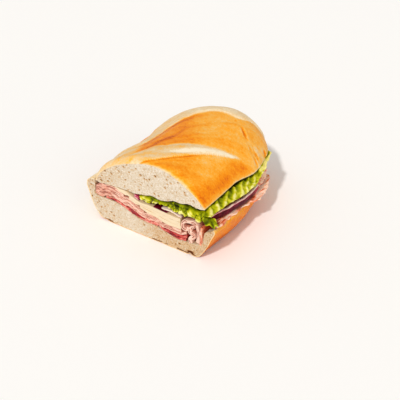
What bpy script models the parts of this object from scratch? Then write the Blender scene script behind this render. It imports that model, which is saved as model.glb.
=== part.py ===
# Half of a filled submarine sandwich, cut straight across its middle: a soft white roll, split
# lengthwise, with cured meat, folded ham, sliced cheese, red onion and lettuce between its halves.
# The cut face looks along -Y and the roll runs back along +Y to its rounded heel. The split is
# closed on the left and open on the right, +X, where the filling comes out over the lower crust.
# Every size below is in millimetres. A section means the shape in the cut face, and it is carried
# along the roll, narrowed by the roll's plan and lowered by its profile.
import bmesh
import bpy
import numpy as np

MM = 0.001

# Length of the half roll, from its cut face to the tip of its heel
CUT_Y = -70.5
HEEL_Y = 61.0

# Crown: the outer skin of the top half, a squarish half ellipse standing on its spring line
SPRING_Z = 29.0
CROWN_X = 10.2
HEEL_X = -1.8
CROWN_RISE = 35.3
CROWN_LEFT = 60.7
CROWN_RIGHT = 42.0
CROWN_POWER = 1.95
HEEL_LOBE = 0.3
CREASE_ANGLE = np.radians(8.6)
TIP_ANGLE = np.radians(23.6)
CLOSED_ANGLE = np.radians(2.0)

# Plan and profile: where each side starts to narrow towards the heel, and how squarely
LEFT_TAPER = (-10.2, 2.3, 2.0)
TOP_RIGHT_TAPER = (-11.0, 2.8, 2.0)
LOW_RIGHT_TAPER = (-30.0, 2.1, 2.0)
HEIGHT_TAPER = (1.1, 3.8, 1.3)
BASE_TAPER = (16.0, 3.0, 2.0)

# Lower half: a flat base, walls that lean out to a belly, and a lip on the open side
BASE_HALF = 43.0
BELLY_Z = 26.8
BELLY_LEFT = -56.8
BELLY_RIGHT = 57.0
WALL_POWER = 0.75
LIP_ROLL = 1.8
LIP_INSET = 1.0
SEAM_DROP = 0.5
SHOULDER = ((-54.6, 32.4), (-56.6, 29.4))
LEFT_INSIDE = ((-48.9, 31.2), (-49.3, 26.4), (-49.2, 22.2))
FLOOR_CORNER = (-48.6, 34.8, 41.0, 47.2)
RIGHT_INSIDE = ((48.0, 19.0), (49.4, 24.4), (53.0, 26.4))

# Scored bands of pale dough that rise between the browned lobes of the crown. They run askew
# over the roll; along and across are measured from the roll's middle in the bands' own direction.
BAND_TURN = np.radians(36.7)
BAND_RISE = 1.3
BAND_FADE = 6.0
BAND_STEP = 2.0
BACK_BAND_RISE = 1.2
BACK_BAND_STEP = 4.0
BAND_TOP_EDGE = ((-64.0, -53.0, -37.0, -12.0, 11.0, 25.0), (-29.0, -34.0, -37.0, -34.0, -32.0, -29.3))
BAND_LOW_EDGE = ((-37.0, -26.0, -10.0, 7.0, 25.0), (-54.0, -51.7, -47.6, -37.6, -29.3))
BACK_BAND_EDGE = ((-38.0, -21.0, -3.0, 10.0, 22.0, 36.0), (18.0, 18.3, 23.8, 27.0, 17.0, 3.0))

# Clear space between pieces that lie on each other, and where the filling ends inside the heel
GAP = 0.5
FILLING_END = 32.0
POCKET_END = 57.0

# Sections of the surfaces between the layers, as stations across the roll and their heights
TOP_UNDERSIDE = (
    (-46.4, -38.4, -30.4, -19.2, -9.6, -3.2, 4.8, 11.2, 16.0, 22.4, 30.4, 35.2, 41.6),
    (32.6, 33.4, 34.1, 34.7, 34.9, 36.2, 38.2, 37.2, 38.0, 40.6, 41.2, 42.8, 42.2),
)
FLOOR = (
    (-48.6, -46.0, -35.2, -25.6, -19.2, -12.8, -6.4, 6.4, 12.8, 19.2, 25.6, 32.0, 38.4, 44.8, 47.4),
    (20.8, 20.1, 20.4, 19.5, 17.6, 15.0, 13.5, 13.1, 11.8, 10.6, 9.6, 10.0, 10.9, 12.4, 14.6),
)
HAM_TOP = (
    (-48.0, -44.0, -40.0, -34.0, -31.0, -25.6, -16.0, -6.4, 3.2, 12.8, 22.4, 29.4),
    (29.6, 31.2, 32.1, 33.0, 33.0, 31.0, 27.0, 22.8, 20.9, 19.0, 18.4, 18.6),
)
CHEESE_TOP = (
    (-31.0, -24.0, -19.2, -14.0, -9.6, 0.0, 9.6, 19.2, 29.0),
    (33.7, 33.5, 32.8, 31.0, 29.2, 28.6, 28.2, 27.6, 27.6),
)
LETTUCE_BOTTOM = (
    (-8.0, 0.0, 6.4, 16.0, 25.6, 32.0, 38.0, 44.8, 51.2, 57.6),
    (31.0, 31.0, 32.4, 33.2, 33.2, 31.8, 31.4, 31.2, 31.2, 31.2),
)
LIP_Z = (
    (-70.5, -58.0, -41.0, -31.0, -20.0, -5.0, 10.0, 25.0, 40.0),
    (28.8, 27.5, 26.5, 25.2, 23.8, 22.8, 22.6, 23.6, 26.4),
)

# Slices of each pile from the bottom up: name, left end, right end
PILE_SPAN = (-47.5, 28.8)
SLICE_END = 4.0
MEAT_PILE = (
    ("cured_meat_1", -39.0, 8.0),
    ("cured_meat_2", -17.0, 28.8),
    ("cured_meat_3", 12.0, 28.8),
    ("ham_slice_1", -47.5, 28.8),
    ("ham_slice_2", -46.0, 27.5),
    ("ham_slice_3", -47.5, 12.0),
    ("ham_slice_4", -46.0, -4.0),
    ("ham_slice_5", -41.5, -22.0),
)
CHEESE_PILE = (
    ("cheese_slice_1", -7.5, 28.8),
    ("cheese_slice_2", -17.0, 27.5),
    ("cheese_slice_3", -30.4, 27.5),
)

# Folded ham at the right of the cut: path in the section, half thickness, end along the roll, sway
FOLDED_HAM = {
    "ham_slice_6": (
        ((30.4, 11.8), (31.2, 17.5), (32.6, 24.0), (36.2, 28.8), (40.0, 28.6), (42.3, 24.0), (43.0, 16.6)),
        0.75, 24.0, 0.4,
    ),
    "ham_slice_7": (
        ((34.6, 12.2), (35.4, 17.0), (37.6, 21.0), (39.8, 17.6), (40.0, 12.8)),
        0.7, 20.0, 0.3,
    ),
    "ham_slice_8": (
        ((44.8, 14.6), (45.4, 18.0), (46.0, 22.5), (46.2, 27.0)),
        0.6, 20.0, 0.2,
    ),
}
SWAY_LENGTH = 9.0

# Ham that comes out over the lip: thickness, where it starts and how high, its span along the
# roll, its edge in the section, which lies further out past a place along the roll, and the flap
FRINGE = 1.3
FRINGE_LEFT = 45.5
FRINGE_INSIDE = (45.0, 29.2)
FRINGE_BEND = 8.0
FRINGE_SPAN = (-65.5, 20.0)
FRINGE_EDGE = (57.4, 61.9)
FRINGE_STEP = (-24.0, 12.0)
FLAP_SPAN = (-2.0, 24.0)
FLAP_EDGE = (49.5, 58.5)
FLAP_TOP = 31.0
FLAP_SLOPE = 0.5

# Red onion. A wedge stands in the section; two slices lie on the cheese: left, right, end along
# the roll, thickness and lift; and a ring stands on edge along the open side
ONION_WEDGE = (-12.2, -8.4, -44.0)
ONION_FLAT = {
    "onion_slice_2": (5.0, 16.6, -18.0, 1.5, 0.0),
    "onion_slice_3": (11.2, 28.6, -18.0, 1.7, 2.1),
}
ONION_LIFT = (28.0, 9.0)
RING_SPAN = (-64.4, -3.0)
RING_X = 53.6
RING_BEND = (-30.0, 33.0, 3.6)
RING_HALF = 1.1
RING_TOP = ((-64.0, -38.0, -23.0, -3.0), (36.8, 34.2, 32.0, 31.2))

# Leaves of lettuce: left side, end along the roll, level in the space for lettuce and wave
# about it, outer edge along the roll, and the height that its hem comes down to
LEAF_OUT = 46.0
LEAF_HALF = 0.4
LEAVES = {
    "lettuce_leaf_1": (
        -7.0, 31.0, (0.70, 0.10),
        ((-70.5, -10.0, 1.0, 11.0, 22.0, 28.0, 31.0), (55.0, 55.0, 53.4, 51.0, 47.6, 45.0, 41.0)),
        (
            (-70.5, -62.0, -42.0, -20.0, -10.0, 1.0, 11.0, 31.0),
            (39.5, 39.2, 37.6, 34.2, 34.4, 37.0, 40.0, 40.2),
        ),
    ),
    "lettuce_leaf_2": (
        -5.0, 30.0, (0.22, 0.06),
        ((-70.5, -40.0, 30.0), (47.6, 48.4, 40.0)),
        ((-70.5, 31.0), (33.0, 33.0)),
    ),
    "lettuce_leaf_3": (
        21.0, 10.0, (0.46, 0.08),
        ((-70.5, -40.0, 10.0), (46.4, 47.0, 42.0)),
        ((-70.5, 31.0), (36.0, 36.0)),
    ),
}
CORNER_LEAF = (48.8, 58.0)
CORNER_END = -65.2
CORNER_TOP = 36.4
CORNER_FALL = 5.6

# Colours of the fillings
HAM = (0.86, 0.52, 0.45)
CURED = (0.62, 0.13, 0.13)
CHEESE = (0.93, 0.82, 0.58)
LETTUCE = (0.33, 0.47, 0.04)
ONION = (0.55, 0.24, 0.33)

# Mesh spacing: rows along the roll, columns across a section
ROLL_ROWS = 23
CROWN_COLUMNS = 25
LEFT_WALL = 7
RIGHT_WALL = 6
FILLING_ROWS = 8
FILLING_STEP = 6.6
LEAF_STEP = 4.8


def ease(t):
    """0 below 0, 1 above 1, and an S curve between."""
    t = np.clip(t, 0.0, 1.0)
    return t * t * (3.0 - 2.0 * t)


def curve(x, line):
    """Height at x on a smooth curve through the line's stations, level beyond its ends."""
    at, height = (np.asarray(v, float) for v in line)
    slope = np.gradient(height, at)
    x = np.clip(x, at[0], at[-1])
    i = np.clip(np.searchsorted(at, x) - 1, 0, len(at) - 2)
    span = at[i + 1] - at[i]
    t = (x - at[i]) / span
    rise = height[i] * (1 + 2 * t) * (1 - t) ** 2 + height[i + 1] * t * t * (3 - 2 * t)
    return rise + span * t * (1 - t) * (slope[i] * (1 - t) - slope[i + 1] * t)


def taper(y, rule):
    """1 along the roll's body, falling to 0 at the tip of its heel."""
    start, power, root = rule
    s = np.clip((y - start) / (HEEL_Y - start), 0.0, 1.0)
    return (1.0 - s ** power) ** (1.0 / root)


def centre(y):
    """The middle of the section, which drifts left towards the heel."""
    s = (y - CUT_Y) / (HEEL_Y - CUT_Y)
    return CROWN_X + (HEEL_X - CROWN_X) * s * s


def place(x, y, right):
    """Where the section's x lies at y, with the right side narrowed by the given rule."""
    side = np.where(x < CROWN_X, taper(y, LEFT_TAPER), taper(y, right))
    return centre(y) + (x - CROWN_X) * side


def section_x(x, y, right):
    """The section's x of a place at y: the opposite of place."""
    away = x - centre(y)
    side = np.where(away < 0, taper(y, LEFT_TAPER), taper(y, right))
    return CROWN_X + away / np.maximum(side, 0.05)


def closing(y):
    """0 where the roll is filled, rising to 1 where its halves meet in the heel."""
    return ease((y - FILLING_END - 3.0) / (POCKET_END - FILLING_END - 3.0))


def crown(angle, y):
    """The outer skin at an angle from the right horizon, as x and z."""
    power = 2.0 / CROWN_POWER
    c, s = np.cos(angle), np.sin(angle)
    reach = np.where(c < 0, CROWN_LEFT, CROWN_RIGHT)
    x = place(CROWN_X + reach * np.sign(c) * np.abs(c) ** power, y, TOP_RIGHT_TAPER)
    lobe = HEEL_LOBE * np.exp(-(((y - 37.9) / 22.0) ** 2))
    z = SPRING_Z + (CROWN_RISE + lobe) * taper(y, HEIGHT_TAPER) * np.abs(s) ** power
    return x, z


def crease(y):
    """The closed side of the split, on the left, as x and z."""
    angle = CREASE_ANGLE + (CLOSED_ANGLE - CREASE_ANGLE) * closing(y)
    return crown(np.pi - angle, y)


def tip(y):
    """The thin right edge of the top half, as x and z."""
    angle = TIP_ANGLE + (CLOSED_ANGLE - TIP_ANGLE) * closing(y)
    return crown(angle, y)


def wall(z, belly):
    """The lower half's leaning wall at height z, in the section."""
    base = np.sign(belly) * BASE_HALF
    return base + (belly - base) * (np.clip(z, 0.0, None) / BELLY_Z) ** WALL_POWER


def lip(y):
    """The top of the lower half's open side, as x and z. It meets the tip in the heel."""
    shut = closing(y)
    tip_x, tip_z = tip(y)
    z = curve(y, LIP_Z)
    x = place(wall(z - LIP_ROLL, BELLY_RIGHT) - LIP_INSET, y, LOW_RIGHT_TAPER)
    return x + (tip_x - x) * shut, z + (tip_z - GAP - z) * shut


def score_rise(x, y):
    """How far the pale bands stand above the browned lobes."""
    along = x * np.cos(BAND_TURN) + y * np.sin(BAND_TURN)
    across = y * np.cos(BAND_TURN) - x * np.sin(BAND_TURN)
    top = curve(along, BAND_TOP_EDGE)
    low = curve(along, BAND_LOW_EDGE)
    front = ease((top - across) / BAND_FADE) * ease((across - low) / BAND_STEP)
    back = ease((across - curve(along, BACK_BAND_EDGE)) / BACK_BAND_STEP)
    return BAND_RISE * front + BACK_BAND_RISE * back


def ceiling(x, y):
    """The underside of the top half."""
    left_x, left_z = crease(y)
    right_x, right_z = tip(y)
    across = np.clip((x - left_x) / np.maximum(right_x - left_x, 0.01), 0.0, 1.0)
    chord = left_z + (right_z - left_z) * across
    cut_left = crease(CUT_Y)
    cut_right = tip(CUT_Y)
    sx = section_x(x, y, TOP_RIGHT_TAPER)
    share = np.clip((sx - cut_left[0]) / (cut_right[0] - cut_left[0]), 0.0, 1.0)
    straight = cut_left[1] + (cut_right[1] - cut_left[1]) * share
    ends = ease(share / 0.06) * ease((1.0 - share) / 0.06)
    return chord + (curve(sx, TOP_UNDERSIDE) - straight) * ends * (1.0 - closing(y))


def floor(x, y):
    """The upper side of the lower half, between its walls."""
    return curve(section_x(x, y, LOW_RIGHT_TAPER), FLOOR)


def weld(name, patches, colour, roughness):
    """One closed object from grids of points that meet along their edges."""
    mesh = bpy.data.meshes.new(name)
    form = bmesh.new()
    for patch in patches:
        rows = [[form.verts.new(np.asarray(p) * MM) for p in row] for row in patch]
        for a, b in zip(rows, rows[1:]):
            for i in range(len(a) - 1):
                form.faces.new((a[i], a[i + 1], b[i + 1]))
                form.faces.new((a[i], b[i + 1], b[i]))
    bmesh.ops.remove_doubles(form, verts=form.verts, dist=0.02 * MM)
    bmesh.ops.recalc_face_normals(form, faces=form.faces)
    form.to_mesh(mesh)
    form.free()
    mesh.shade_smooth()
    mesh.set_sharp_from_angle(angle=np.radians(40.0))
    thing = bpy.data.objects.new(name, mesh)
    bpy.context.collection.objects.link(thing)
    mesh.materials.append(finish(name, colour, roughness))
    return thing


def finish(name, colour, roughness):
    """A plain food finish."""
    material = bpy.data.materials.new(name)
    material.use_nodes = True
    shader = material.node_tree.nodes["Principled BSDF"]
    shader.inputs["Base Color"].default_value = (*colour, 1.0)
    shader.inputs["Roughness"].default_value = roughness
    shader.inputs["Metallic"].default_value = 0.0
    return material


def points(x, y, z):
    """Three arrays as one array of points."""
    return np.stack(np.broadcast_arrays(x, y, z), axis=-1)


def sheet(name, x, y, low, high, colour, roughness=0.5):
    """A closed sheet over a grid of x and y, between its low and high heights."""
    under, over = points(x, y, low), points(x, y, high)
    rims = [np.stack([under[k], over[k]]) for k in (0, -1)]
    rims += [np.stack([under[:, k], over[:, k]]) for k in (0, -1)]
    return weld(name, [under, over] + rims, colour, roughness)


def roll_rows():
    """Rows along the roll, closer together round the heel."""
    turn = np.linspace(0.0, 1.0, ROLL_ROWS)
    return CUT_Y + (HEEL_Y - CUT_Y) * np.sin(turn * np.pi / 2.0) ** 1.15


def ring_solid(name, outer, inner, colour, roughness=0.7):
    """A bread half: outer and inner skins that share their side edges, and the cut face."""
    cut = np.linspace(outer[0], inner[0], 4)
    return weld(name, [outer, inner, cut], colour, roughness)


def roll_top():
    """The top half: the crown, its scored bands and its underside."""
    y = roll_rows()[:, None]
    first = TIP_ANGLE + (CLOSED_ANGLE - TIP_ANGLE) * closing(y)
    last = np.pi - CREASE_ANGLE - (CLOSED_ANGLE - CREASE_ANGLE) * closing(y)
    share = np.linspace(0.0, 1.0, CROWN_COLUMNS)[None]
    angle = first + (last - first) * share
    x, z = crown(angle, y)
    proud = score_rise(x, y) * ease((z - SPRING_Z - 6.0) / 10.0)
    lift = np.sin(angle)
    outer = points(x + proud * np.cos(angle) * 0.6, y, z + proud * lift)
    across = x[:, :1] + (x[:, -1:] - x[:, :1]) * share
    under = points(across, y, ceiling(across, y))
    under[:, 0], under[:, -1] = outer[:, 0], outer[:, -1]
    return ring_solid("roll_top", outer, under, (0.86, 0.46, 0.14))


def roll_bottom():
    """The lower half: its base, walls and lip outside, its floor and inner walls inside."""
    y = roll_rows()[:, None]
    notch_x, notch_z = crease(y)
    notch_z = notch_z - GAP
    lip_x, lip_z = lip(y)
    inner = inner_path(y, notch_x, notch_z, lip_x, lip_z)
    left_z = BELLY_Z * np.linspace(1.0, 0.0, LEFT_WALL)[None, :-1] + 0.0 * y
    right_z = (lip_z - LIP_ROLL) * np.linspace(0.0, 1.0, RIGHT_WALL)[None, 1:]
    base = np.linspace(-BASE_HALF, BASE_HALF, inner.shape[1] - LEFT_WALL - RIGHT_WALL - 2)[None]
    shoulder = np.array(SHOULDER).T[:, None] + 0.0 * y
    x = [shoulder[0], wall(left_z, BELLY_LEFT), base + 0.0 * y, wall(right_z, BELLY_RIGHT)]
    z = [shoulder[1], left_z, 0.0 * base + 0.0 * y, right_z]
    x = place(np.concatenate(x, axis=1), y, LOW_RIGHT_TAPER)
    z = SPRING_Z - (SPRING_Z - np.concatenate(z, axis=1)) * taper(y, BASE_TAPER)
    seam = notch_z + (lip_z - notch_z) * closing(y)
    z = np.minimum(z, seam - SEAM_DROP * ease(HEEL_Y - y))
    x = np.concatenate([notch_x, x, lip_x], axis=1)
    z = np.concatenate([notch_z, z, lip_z], axis=1)
    ring_solid("roll_bottom", points(x, y, z), inner, (0.88, 0.62, 0.32))


def inner_path(y, notch_x, notch_z, lip_x, lip_z):
    """The inside of the lower half: down the closed wall, over the floor and up to the lip."""
    left, right = np.array(LEFT_INSIDE).T, np.array(RIGHT_INSIDE).T
    floor_x = np.concatenate([FLOOR_CORNER[:1], columns(*PILE_SPAN), FLOOR_CORNER[1:]])
    x = np.concatenate([left[0], floor_x, right[0]])
    z = np.concatenate([left[1], curve(floor_x, FLOOR), right[1]])
    share = (x - FLOOR_CORNER[-1]) / (right[0, -1] - FLOOR_CORNER[-1])
    z = z + (lip_z - curve(CUT_Y, LIP_Z)) * ease(share)
    x = np.concatenate([notch_x, place(x, y, LOW_RIGHT_TAPER), lip_x], axis=1)
    z = np.concatenate([notch_z, z, lip_z], axis=1)
    shut = closing(y)
    even = np.linspace(0.0, 1.0, x.shape[1])[None]
    x = x + (notch_x + (lip_x - notch_x) * even - x) * shut
    z = z + (notch_z + (lip_z - notch_z) * even - z) * shut
    z[:, 1:-1] = np.minimum(z, ceiling(x, y) - GAP)[:, 1:-1]
    return points(x, y, z)


def columns(left, right):
    """Columns across a slice. Every pile has them at the same places, so its slices stay apart."""
    ends = sorted({end for slice_ in MEAT_PILE + CHEESE_PILE for end in slice_[1:]})
    spans = [np.linspace(a, b, int(np.ceil((b - a) / FILLING_STEP)) + 1) for a, b in zip(ends, ends[1:])]
    every = np.unique(np.concatenate(spans))
    return every[(every > left - 0.1) & (every < right + 0.1)]


def window(x, left, right):
    """How much of a pile's height a slice takes at x: its ends thin out past its span."""
    return ease((x - left) / SLICE_END + 1.0) * ease((right - x) / SLICE_END + 1.0)


def pile(slices, bottom, top, colours):
    """Slices that share the space between two surfaces, each as wide as its own span."""
    y = np.linspace(CUT_Y, FILLING_END, FILLING_ROWS)[:, None]
    for k, (name, left, right) in enumerate(slices):
        sx = columns(left, right)[None]
        x = place(sx, y, LOW_RIGHT_TAPER)
        shares = [window(sx, a, b) for _, a, b in slices]
        total = sum(shares)
        low, high = bottom(x, y) + GAP / 2, top(x, y)
        under = low + (high - low) * sum(shares[:k], np.zeros_like(sx)) / total
        over = low + (high - low) * sum(shares[: k + 1]) / total
        kind = name.rsplit("_", 1)[0]
        sheet(name, x, y, under + GAP / 2, over - GAP / 2, colours[kind])


def ham_top(x, y):
    """The top of the meat pile."""
    return curve(section_x(x, y, LOW_RIGHT_TAPER), HAM_TOP)


def cheese_top(x, y):
    """The top of the cheese."""
    return curve(section_x(x, y, LOW_RIGHT_TAPER), CHEESE_TOP)


def ribbon(name, path, half, y_end, sway):
    """A folded slice: a ribbon that follows a path in the section, carried along the roll."""
    path = np.asarray(path, float)
    step = np.linspace(0.0, 1.0, len(path))
    fine = np.linspace(0.0, 1.0, 2 * len(path) - 1)
    px, pz = curve(fine, (step, path[:, 0])), curve(fine, (step, path[:, 1]))
    dx, dz = np.gradient(px), np.gradient(pz)
    length = np.hypot(dx, dz)
    y = np.linspace(CUT_Y, y_end, FILLING_ROWS)[:, None]
    swing = sway * np.sin((y - CUT_Y) / SWAY_LENGTH)
    sides = []
    for way in (-half, half):
        x = place(px - way * dz / length + swing, y, LOW_RIGHT_TAPER)
        sides.append(points(x, y, pz + way * dx / length))
    rims = [np.stack([sides[0][k], sides[1][k]]) for k in (0, -1)]
    rims += [np.stack([sides[0][:, k], sides[1][:, k]]) for k in (0, -1)]
    weld(name, sides + rims, HAM, 0.5)


def lettuce_room(x, y):
    """The space for lettuce: its lower surface and its height up to the top half."""
    low = curve(section_x(x, y, LOW_RIGHT_TAPER), LETTUCE_BOTTOM)
    tip_x = tip(y)[0]
    return low, ceiling(np.minimum(x, tip_x - 0.5), y) - low


def leaf(name, left, y_end, level, edge, hem):
    """A thin wavy leaf between left and its edge, at a level of the space for lettuce. Outside
    the roll it comes down to the height of its hem."""
    y = np.linspace(CUT_Y, y_end, int(round((y_end - CUT_Y) / LEAF_STEP)) + 1)[:, None]
    far = curve(y, edge)
    x = left + (far - left) * np.linspace(0.0, 1.0, int(round((far.max() - left) / LEAF_STEP)) + 1)[None]
    low, room = lettuce_room(x, y)
    wave = np.sin(x / 3.6 + 1.3 * np.sin(y / 11.0)) * 0.6 + 0.4 * np.sin(y / 5.0 + x / 9.0)
    middle = low + room * (level[0] + level[1] * wave)
    out = np.clip((x - LEAF_OUT) / np.maximum(far - LEAF_OUT, 1.0), 0.0, 1.0)
    middle = middle + (curve(y, hem) - middle) * out ** 1.4
    sheet(name, x, y, middle - LEAF_HALF, middle + LEAF_HALF, LETTUCE)


def corner_leaf():
    """The torn end of a leaf that hangs over the front right corner."""
    y = np.linspace(CUT_Y, CORNER_END, 3)[:, None]
    share = np.linspace(0.0, 1.0, 5)[None] + 0.0 * y
    x = CORNER_LEAF[0] + (CORNER_LEAF[1] - CORNER_LEAF[0]) * share
    middle = CORNER_TOP - CORNER_FALL * share ** 0.8 + 0.5 * np.sin(x / 1.4)
    sheet("lettuce_leaf_4", x, y, middle - LEAF_HALF, middle + LEAF_HALF, LETTUCE)


def clear():
    """Empties the scene."""
    for thing in list(bpy.data.objects):
        bpy.data.objects.remove(thing, do_unlink=True)


def fringe_height(x, y):
    """The underside of the ham that hangs out over the lip."""
    start, z = FRINGE_INSIDE
    inside = place(start, y, LOW_RIGHT_TAPER)
    return z + (lip(y)[1] + GAP - z) * ease((x - inside) / FRINGE_BEND)


def ham_fringe():
    """The ragged edge of a ham slice along the whole lip."""
    y = np.linspace(*FRINGE_SPAN, 14)[:, None]
    start, length = FRINGE_STEP
    edge = FRINGE_EDGE[0] + (FRINGE_EDGE[1] - FRINGE_EDGE[0]) * ease((y - start) / length)
    edge = edge + 1.1 * np.sin(y / 3.1) + 0.6 * np.sin(y / 1.7)
    sx = FRINGE_LEFT + (edge - FRINGE_LEFT) * np.linspace(0.0, 1.0, 7)[None]
    x = place(sx, y, LOW_RIGHT_TAPER)
    low = fringe_height(x, y)
    sheet("ham_slice_9", x, y, low, low + FRINGE, HAM)


def ham_flap():
    """A second slice over the far end of the fringe, sloping outwards."""
    y = np.linspace(*FLAP_SPAN, 6)[:, None]
    sx = np.linspace(*FLAP_EDGE, 5)[None] + 0.0 * y
    x = place(sx, y, LOW_RIGHT_TAPER)
    slope = FLAP_TOP - FLAP_SLOPE * (sx - FLAP_EDGE[0])
    low = np.maximum(fringe_height(x, y) + FRINGE + GAP, slope)
    sheet("ham_slice_10", x, y, low, low + FRINGE, HAM)


def onion_wedge():
    """A piece of onion that fills the height between the cheese and the top half."""
    left, right, y_end = ONION_WEDGE
    y = np.linspace(CUT_Y, y_end, 4)[:, None]
    x = np.linspace(left, right, 3)[None] + 0.0 * y
    sheet("onion_slice_1", x, y, cheese_top(x, y) + GAP, ceiling(x, y) - GAP, ONION)


def onion_flat(name, left, right, y_end, thickness, lift):
    """A slice of onion on the cheese. Its left side can be lifted over the slice beside it."""
    y = np.linspace(CUT_Y, y_end, 6)[:, None]
    x = np.linspace(left, right, 5)[None] + 0.0 * y
    end, length = ONION_LIFT
    low = cheese_top(x, y) + GAP + lift * ease((end - x) / length)
    sheet(name, x, y, low, low + thickness, ONION)


def onion_ring():
    """A ring on its edge along the open side, from the fringe up into the lettuce."""
    y = np.linspace(*RING_SPAN, 11)[:, None]
    middle, length, depth = RING_BEND
    x = RING_X - depth * ((y - middle) / length) ** 2 + np.array([[-RING_HALF, RING_HALF]])
    low = (fringe_height(x, y) + FRINGE + GAP).max(axis=1, keepdims=True)
    sheet("onion_slice_4", x, y, low + 0.0 * x, curve(y, RING_TOP) + 0.0 * x, ONION)


def sandwich():
    """All the pieces, from the base up."""
    clear()
    roll_bottom()
    roll_top()
    pile(MEAT_PILE, floor, ham_top, {"cured_meat": CURED, "ham_slice": HAM})
    pile(CHEESE_PILE, ham_top, cheese_top, {"cheese_slice": CHEESE})
    for name, fold in FOLDED_HAM.items():
        ribbon(name, *fold)
    ham_fringe()
    ham_flap()
    onion_wedge()
    for name, slice_ in ONION_FLAT.items():
        onion_flat(name, *slice_)
    onion_ring()
    for name, form in LEAVES.items():
        leaf(name, *form)
    corner_leaf()


sandwich()
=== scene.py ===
# %% [markdown]
# # Half of a filled submarine sandwich
# The real thing is a soft white roll, split lengthwise, filled with cured meat, ham, cheese, red
# onion and lettuce, and cut straight across. Its solids are already packed as a frame. This
# notebook dresses each of them with the surface that it has in life: browned crust, porous
# crumb, wet meat and ribbed leaves. It starts by loading the frame and noting its size.

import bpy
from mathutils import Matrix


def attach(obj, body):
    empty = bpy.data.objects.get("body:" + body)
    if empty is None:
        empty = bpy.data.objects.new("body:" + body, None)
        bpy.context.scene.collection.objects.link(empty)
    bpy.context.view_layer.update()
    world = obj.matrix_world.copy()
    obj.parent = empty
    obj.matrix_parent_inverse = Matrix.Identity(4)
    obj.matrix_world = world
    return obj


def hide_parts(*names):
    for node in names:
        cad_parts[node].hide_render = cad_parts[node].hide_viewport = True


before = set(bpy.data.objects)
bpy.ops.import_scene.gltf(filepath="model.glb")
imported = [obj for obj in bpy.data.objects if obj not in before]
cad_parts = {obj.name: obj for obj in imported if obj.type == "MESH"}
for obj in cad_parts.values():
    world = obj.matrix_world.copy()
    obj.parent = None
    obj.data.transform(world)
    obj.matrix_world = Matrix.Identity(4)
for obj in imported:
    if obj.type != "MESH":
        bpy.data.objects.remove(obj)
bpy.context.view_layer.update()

import bmesh
import bpy
import numpy as np
from mathutils import Vector

print("nodes in the frame:", len(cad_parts))

# %% [markdown]
# ## The form of the roll
# Everything follows the roll, so its form comes first. A section is the shape in the cut face.
# It could be sculpted freely, but one section with a rule for how it changes along the roll gives
# every layer the same form, so that none crosses another. The roll's plan narrows the section and
# its profile lowers it. These sizes, in millimetres, are the ones that the solids were made from,
# so every surface lands on its solid.

# %% Sizes of the roll
MM = 0.001
CUT_Y = -70.5
HEEL_Y = 61.0
SPRING_Z = 29.0
CROWN_X = 10.2
HEEL_X = -1.8
CROWN_RISE = 35.3
CROWN_LEFT = 60.7
CROWN_RIGHT = 42.0
CROWN_POWER = 1.95
HEEL_LOBE = 0.3
CREASE_ANGLE = np.radians(8.6)
TIP_ANGLE = np.radians(23.6)
CLOSED_ANGLE = np.radians(2.0)
LEFT_TAPER = (-10.2, 2.3, 2.0)
TOP_RIGHT_TAPER = (-11.0, 2.8, 2.0)
LOW_RIGHT_TAPER = (-30.0, 2.1, 2.0)
HEIGHT_TAPER = (1.1, 3.8, 1.3)
BASE_TAPER = (16.0, 3.0, 2.0)
BASE_HALF = 43.0
BELLY_Z = 26.8
BELLY_LEFT = -56.8
BELLY_RIGHT = 57.0
WALL_POWER = 0.75
LIP_ROLL = 1.8
LIP_INSET = 1.0
GAP = 0.5
FILLING_END = 32.0
POCKET_END = 57.0

# Surfaces between the layers: stations across the section and their heights
TOP_UNDERSIDE = (
    (-46.4, -38.4, -30.4, -19.2, -9.6, -3.2, 4.8, 11.2, 16.0, 22.4, 30.4, 35.2, 41.6),
    (32.6, 33.4, 34.1, 34.7, 34.9, 36.2, 38.2, 37.2, 38.0, 40.6, 41.2, 42.8, 42.2),
)
FLOOR = (
    (-48.6, -46.0, -35.2, -25.6, -19.2, -12.8, -6.4, 6.4, 12.8, 19.2, 25.6, 32.0, 38.4, 44.8, 47.4),
    (20.8, 20.1, 20.4, 19.5, 17.6, 15.0, 13.5, 13.1, 11.8, 10.6, 9.6, 10.0, 10.9, 12.4, 14.6),
)
HAM_TOP = (
    (-49.4, -47.2, -44.0, -40.0, -34.0, -31.0, -25.6, -16.0, -6.4, 3.2, 12.8, 22.4, 29.4),
    (27.8, 30.6, 32.0, 32.5, 33.0, 33.0, 31.0, 27.0, 22.8, 20.9, 19.0, 18.4, 18.6),
)
CHEESE_TOP = (
    (-31.0, -24.0, -19.2, -14.0, -9.6, 0.0, 9.6, 19.2, 29.0),
    (33.7, 33.5, 32.8, 31.0, 29.2, 28.6, 28.2, 27.6, 27.6),
)
LETTUCE_BOTTOM = (
    (-8.0, 0.0, 6.4, 16.0, 25.6, 32.0, 38.0, 44.8, 51.2, 57.6),
    (31.0, 31.0, 32.4, 33.2, 33.2, 31.8, 31.4, 31.2, 31.2, 31.2),
)
LIP_Z = (
    (-70.5, -58.0, -41.0, -31.0, -20.0, -5.0, 10.0, 25.0, 40.0),
    (28.8, 27.5, 26.5, 25.2, 23.8, 22.8, 22.6, 23.6, 26.4),
)
print("half roll, mm long:", HEEL_Y - CUT_Y)


# %% Section, plan and profile
def ease(t):
    """0 below 0, 1 above 1, and an S curve between."""
    t = np.clip(t, 0.0, 1.0)
    return t * t * (3.0 - 2.0 * t)


def bell(t):
    """1 at 0, falling to nothing on both sides, as a bell curve."""
    return np.exp(-t * t)


def towards(value, target, share):
    """The value, moved a share of the way to the target."""
    return value + (target - value) * share


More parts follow.
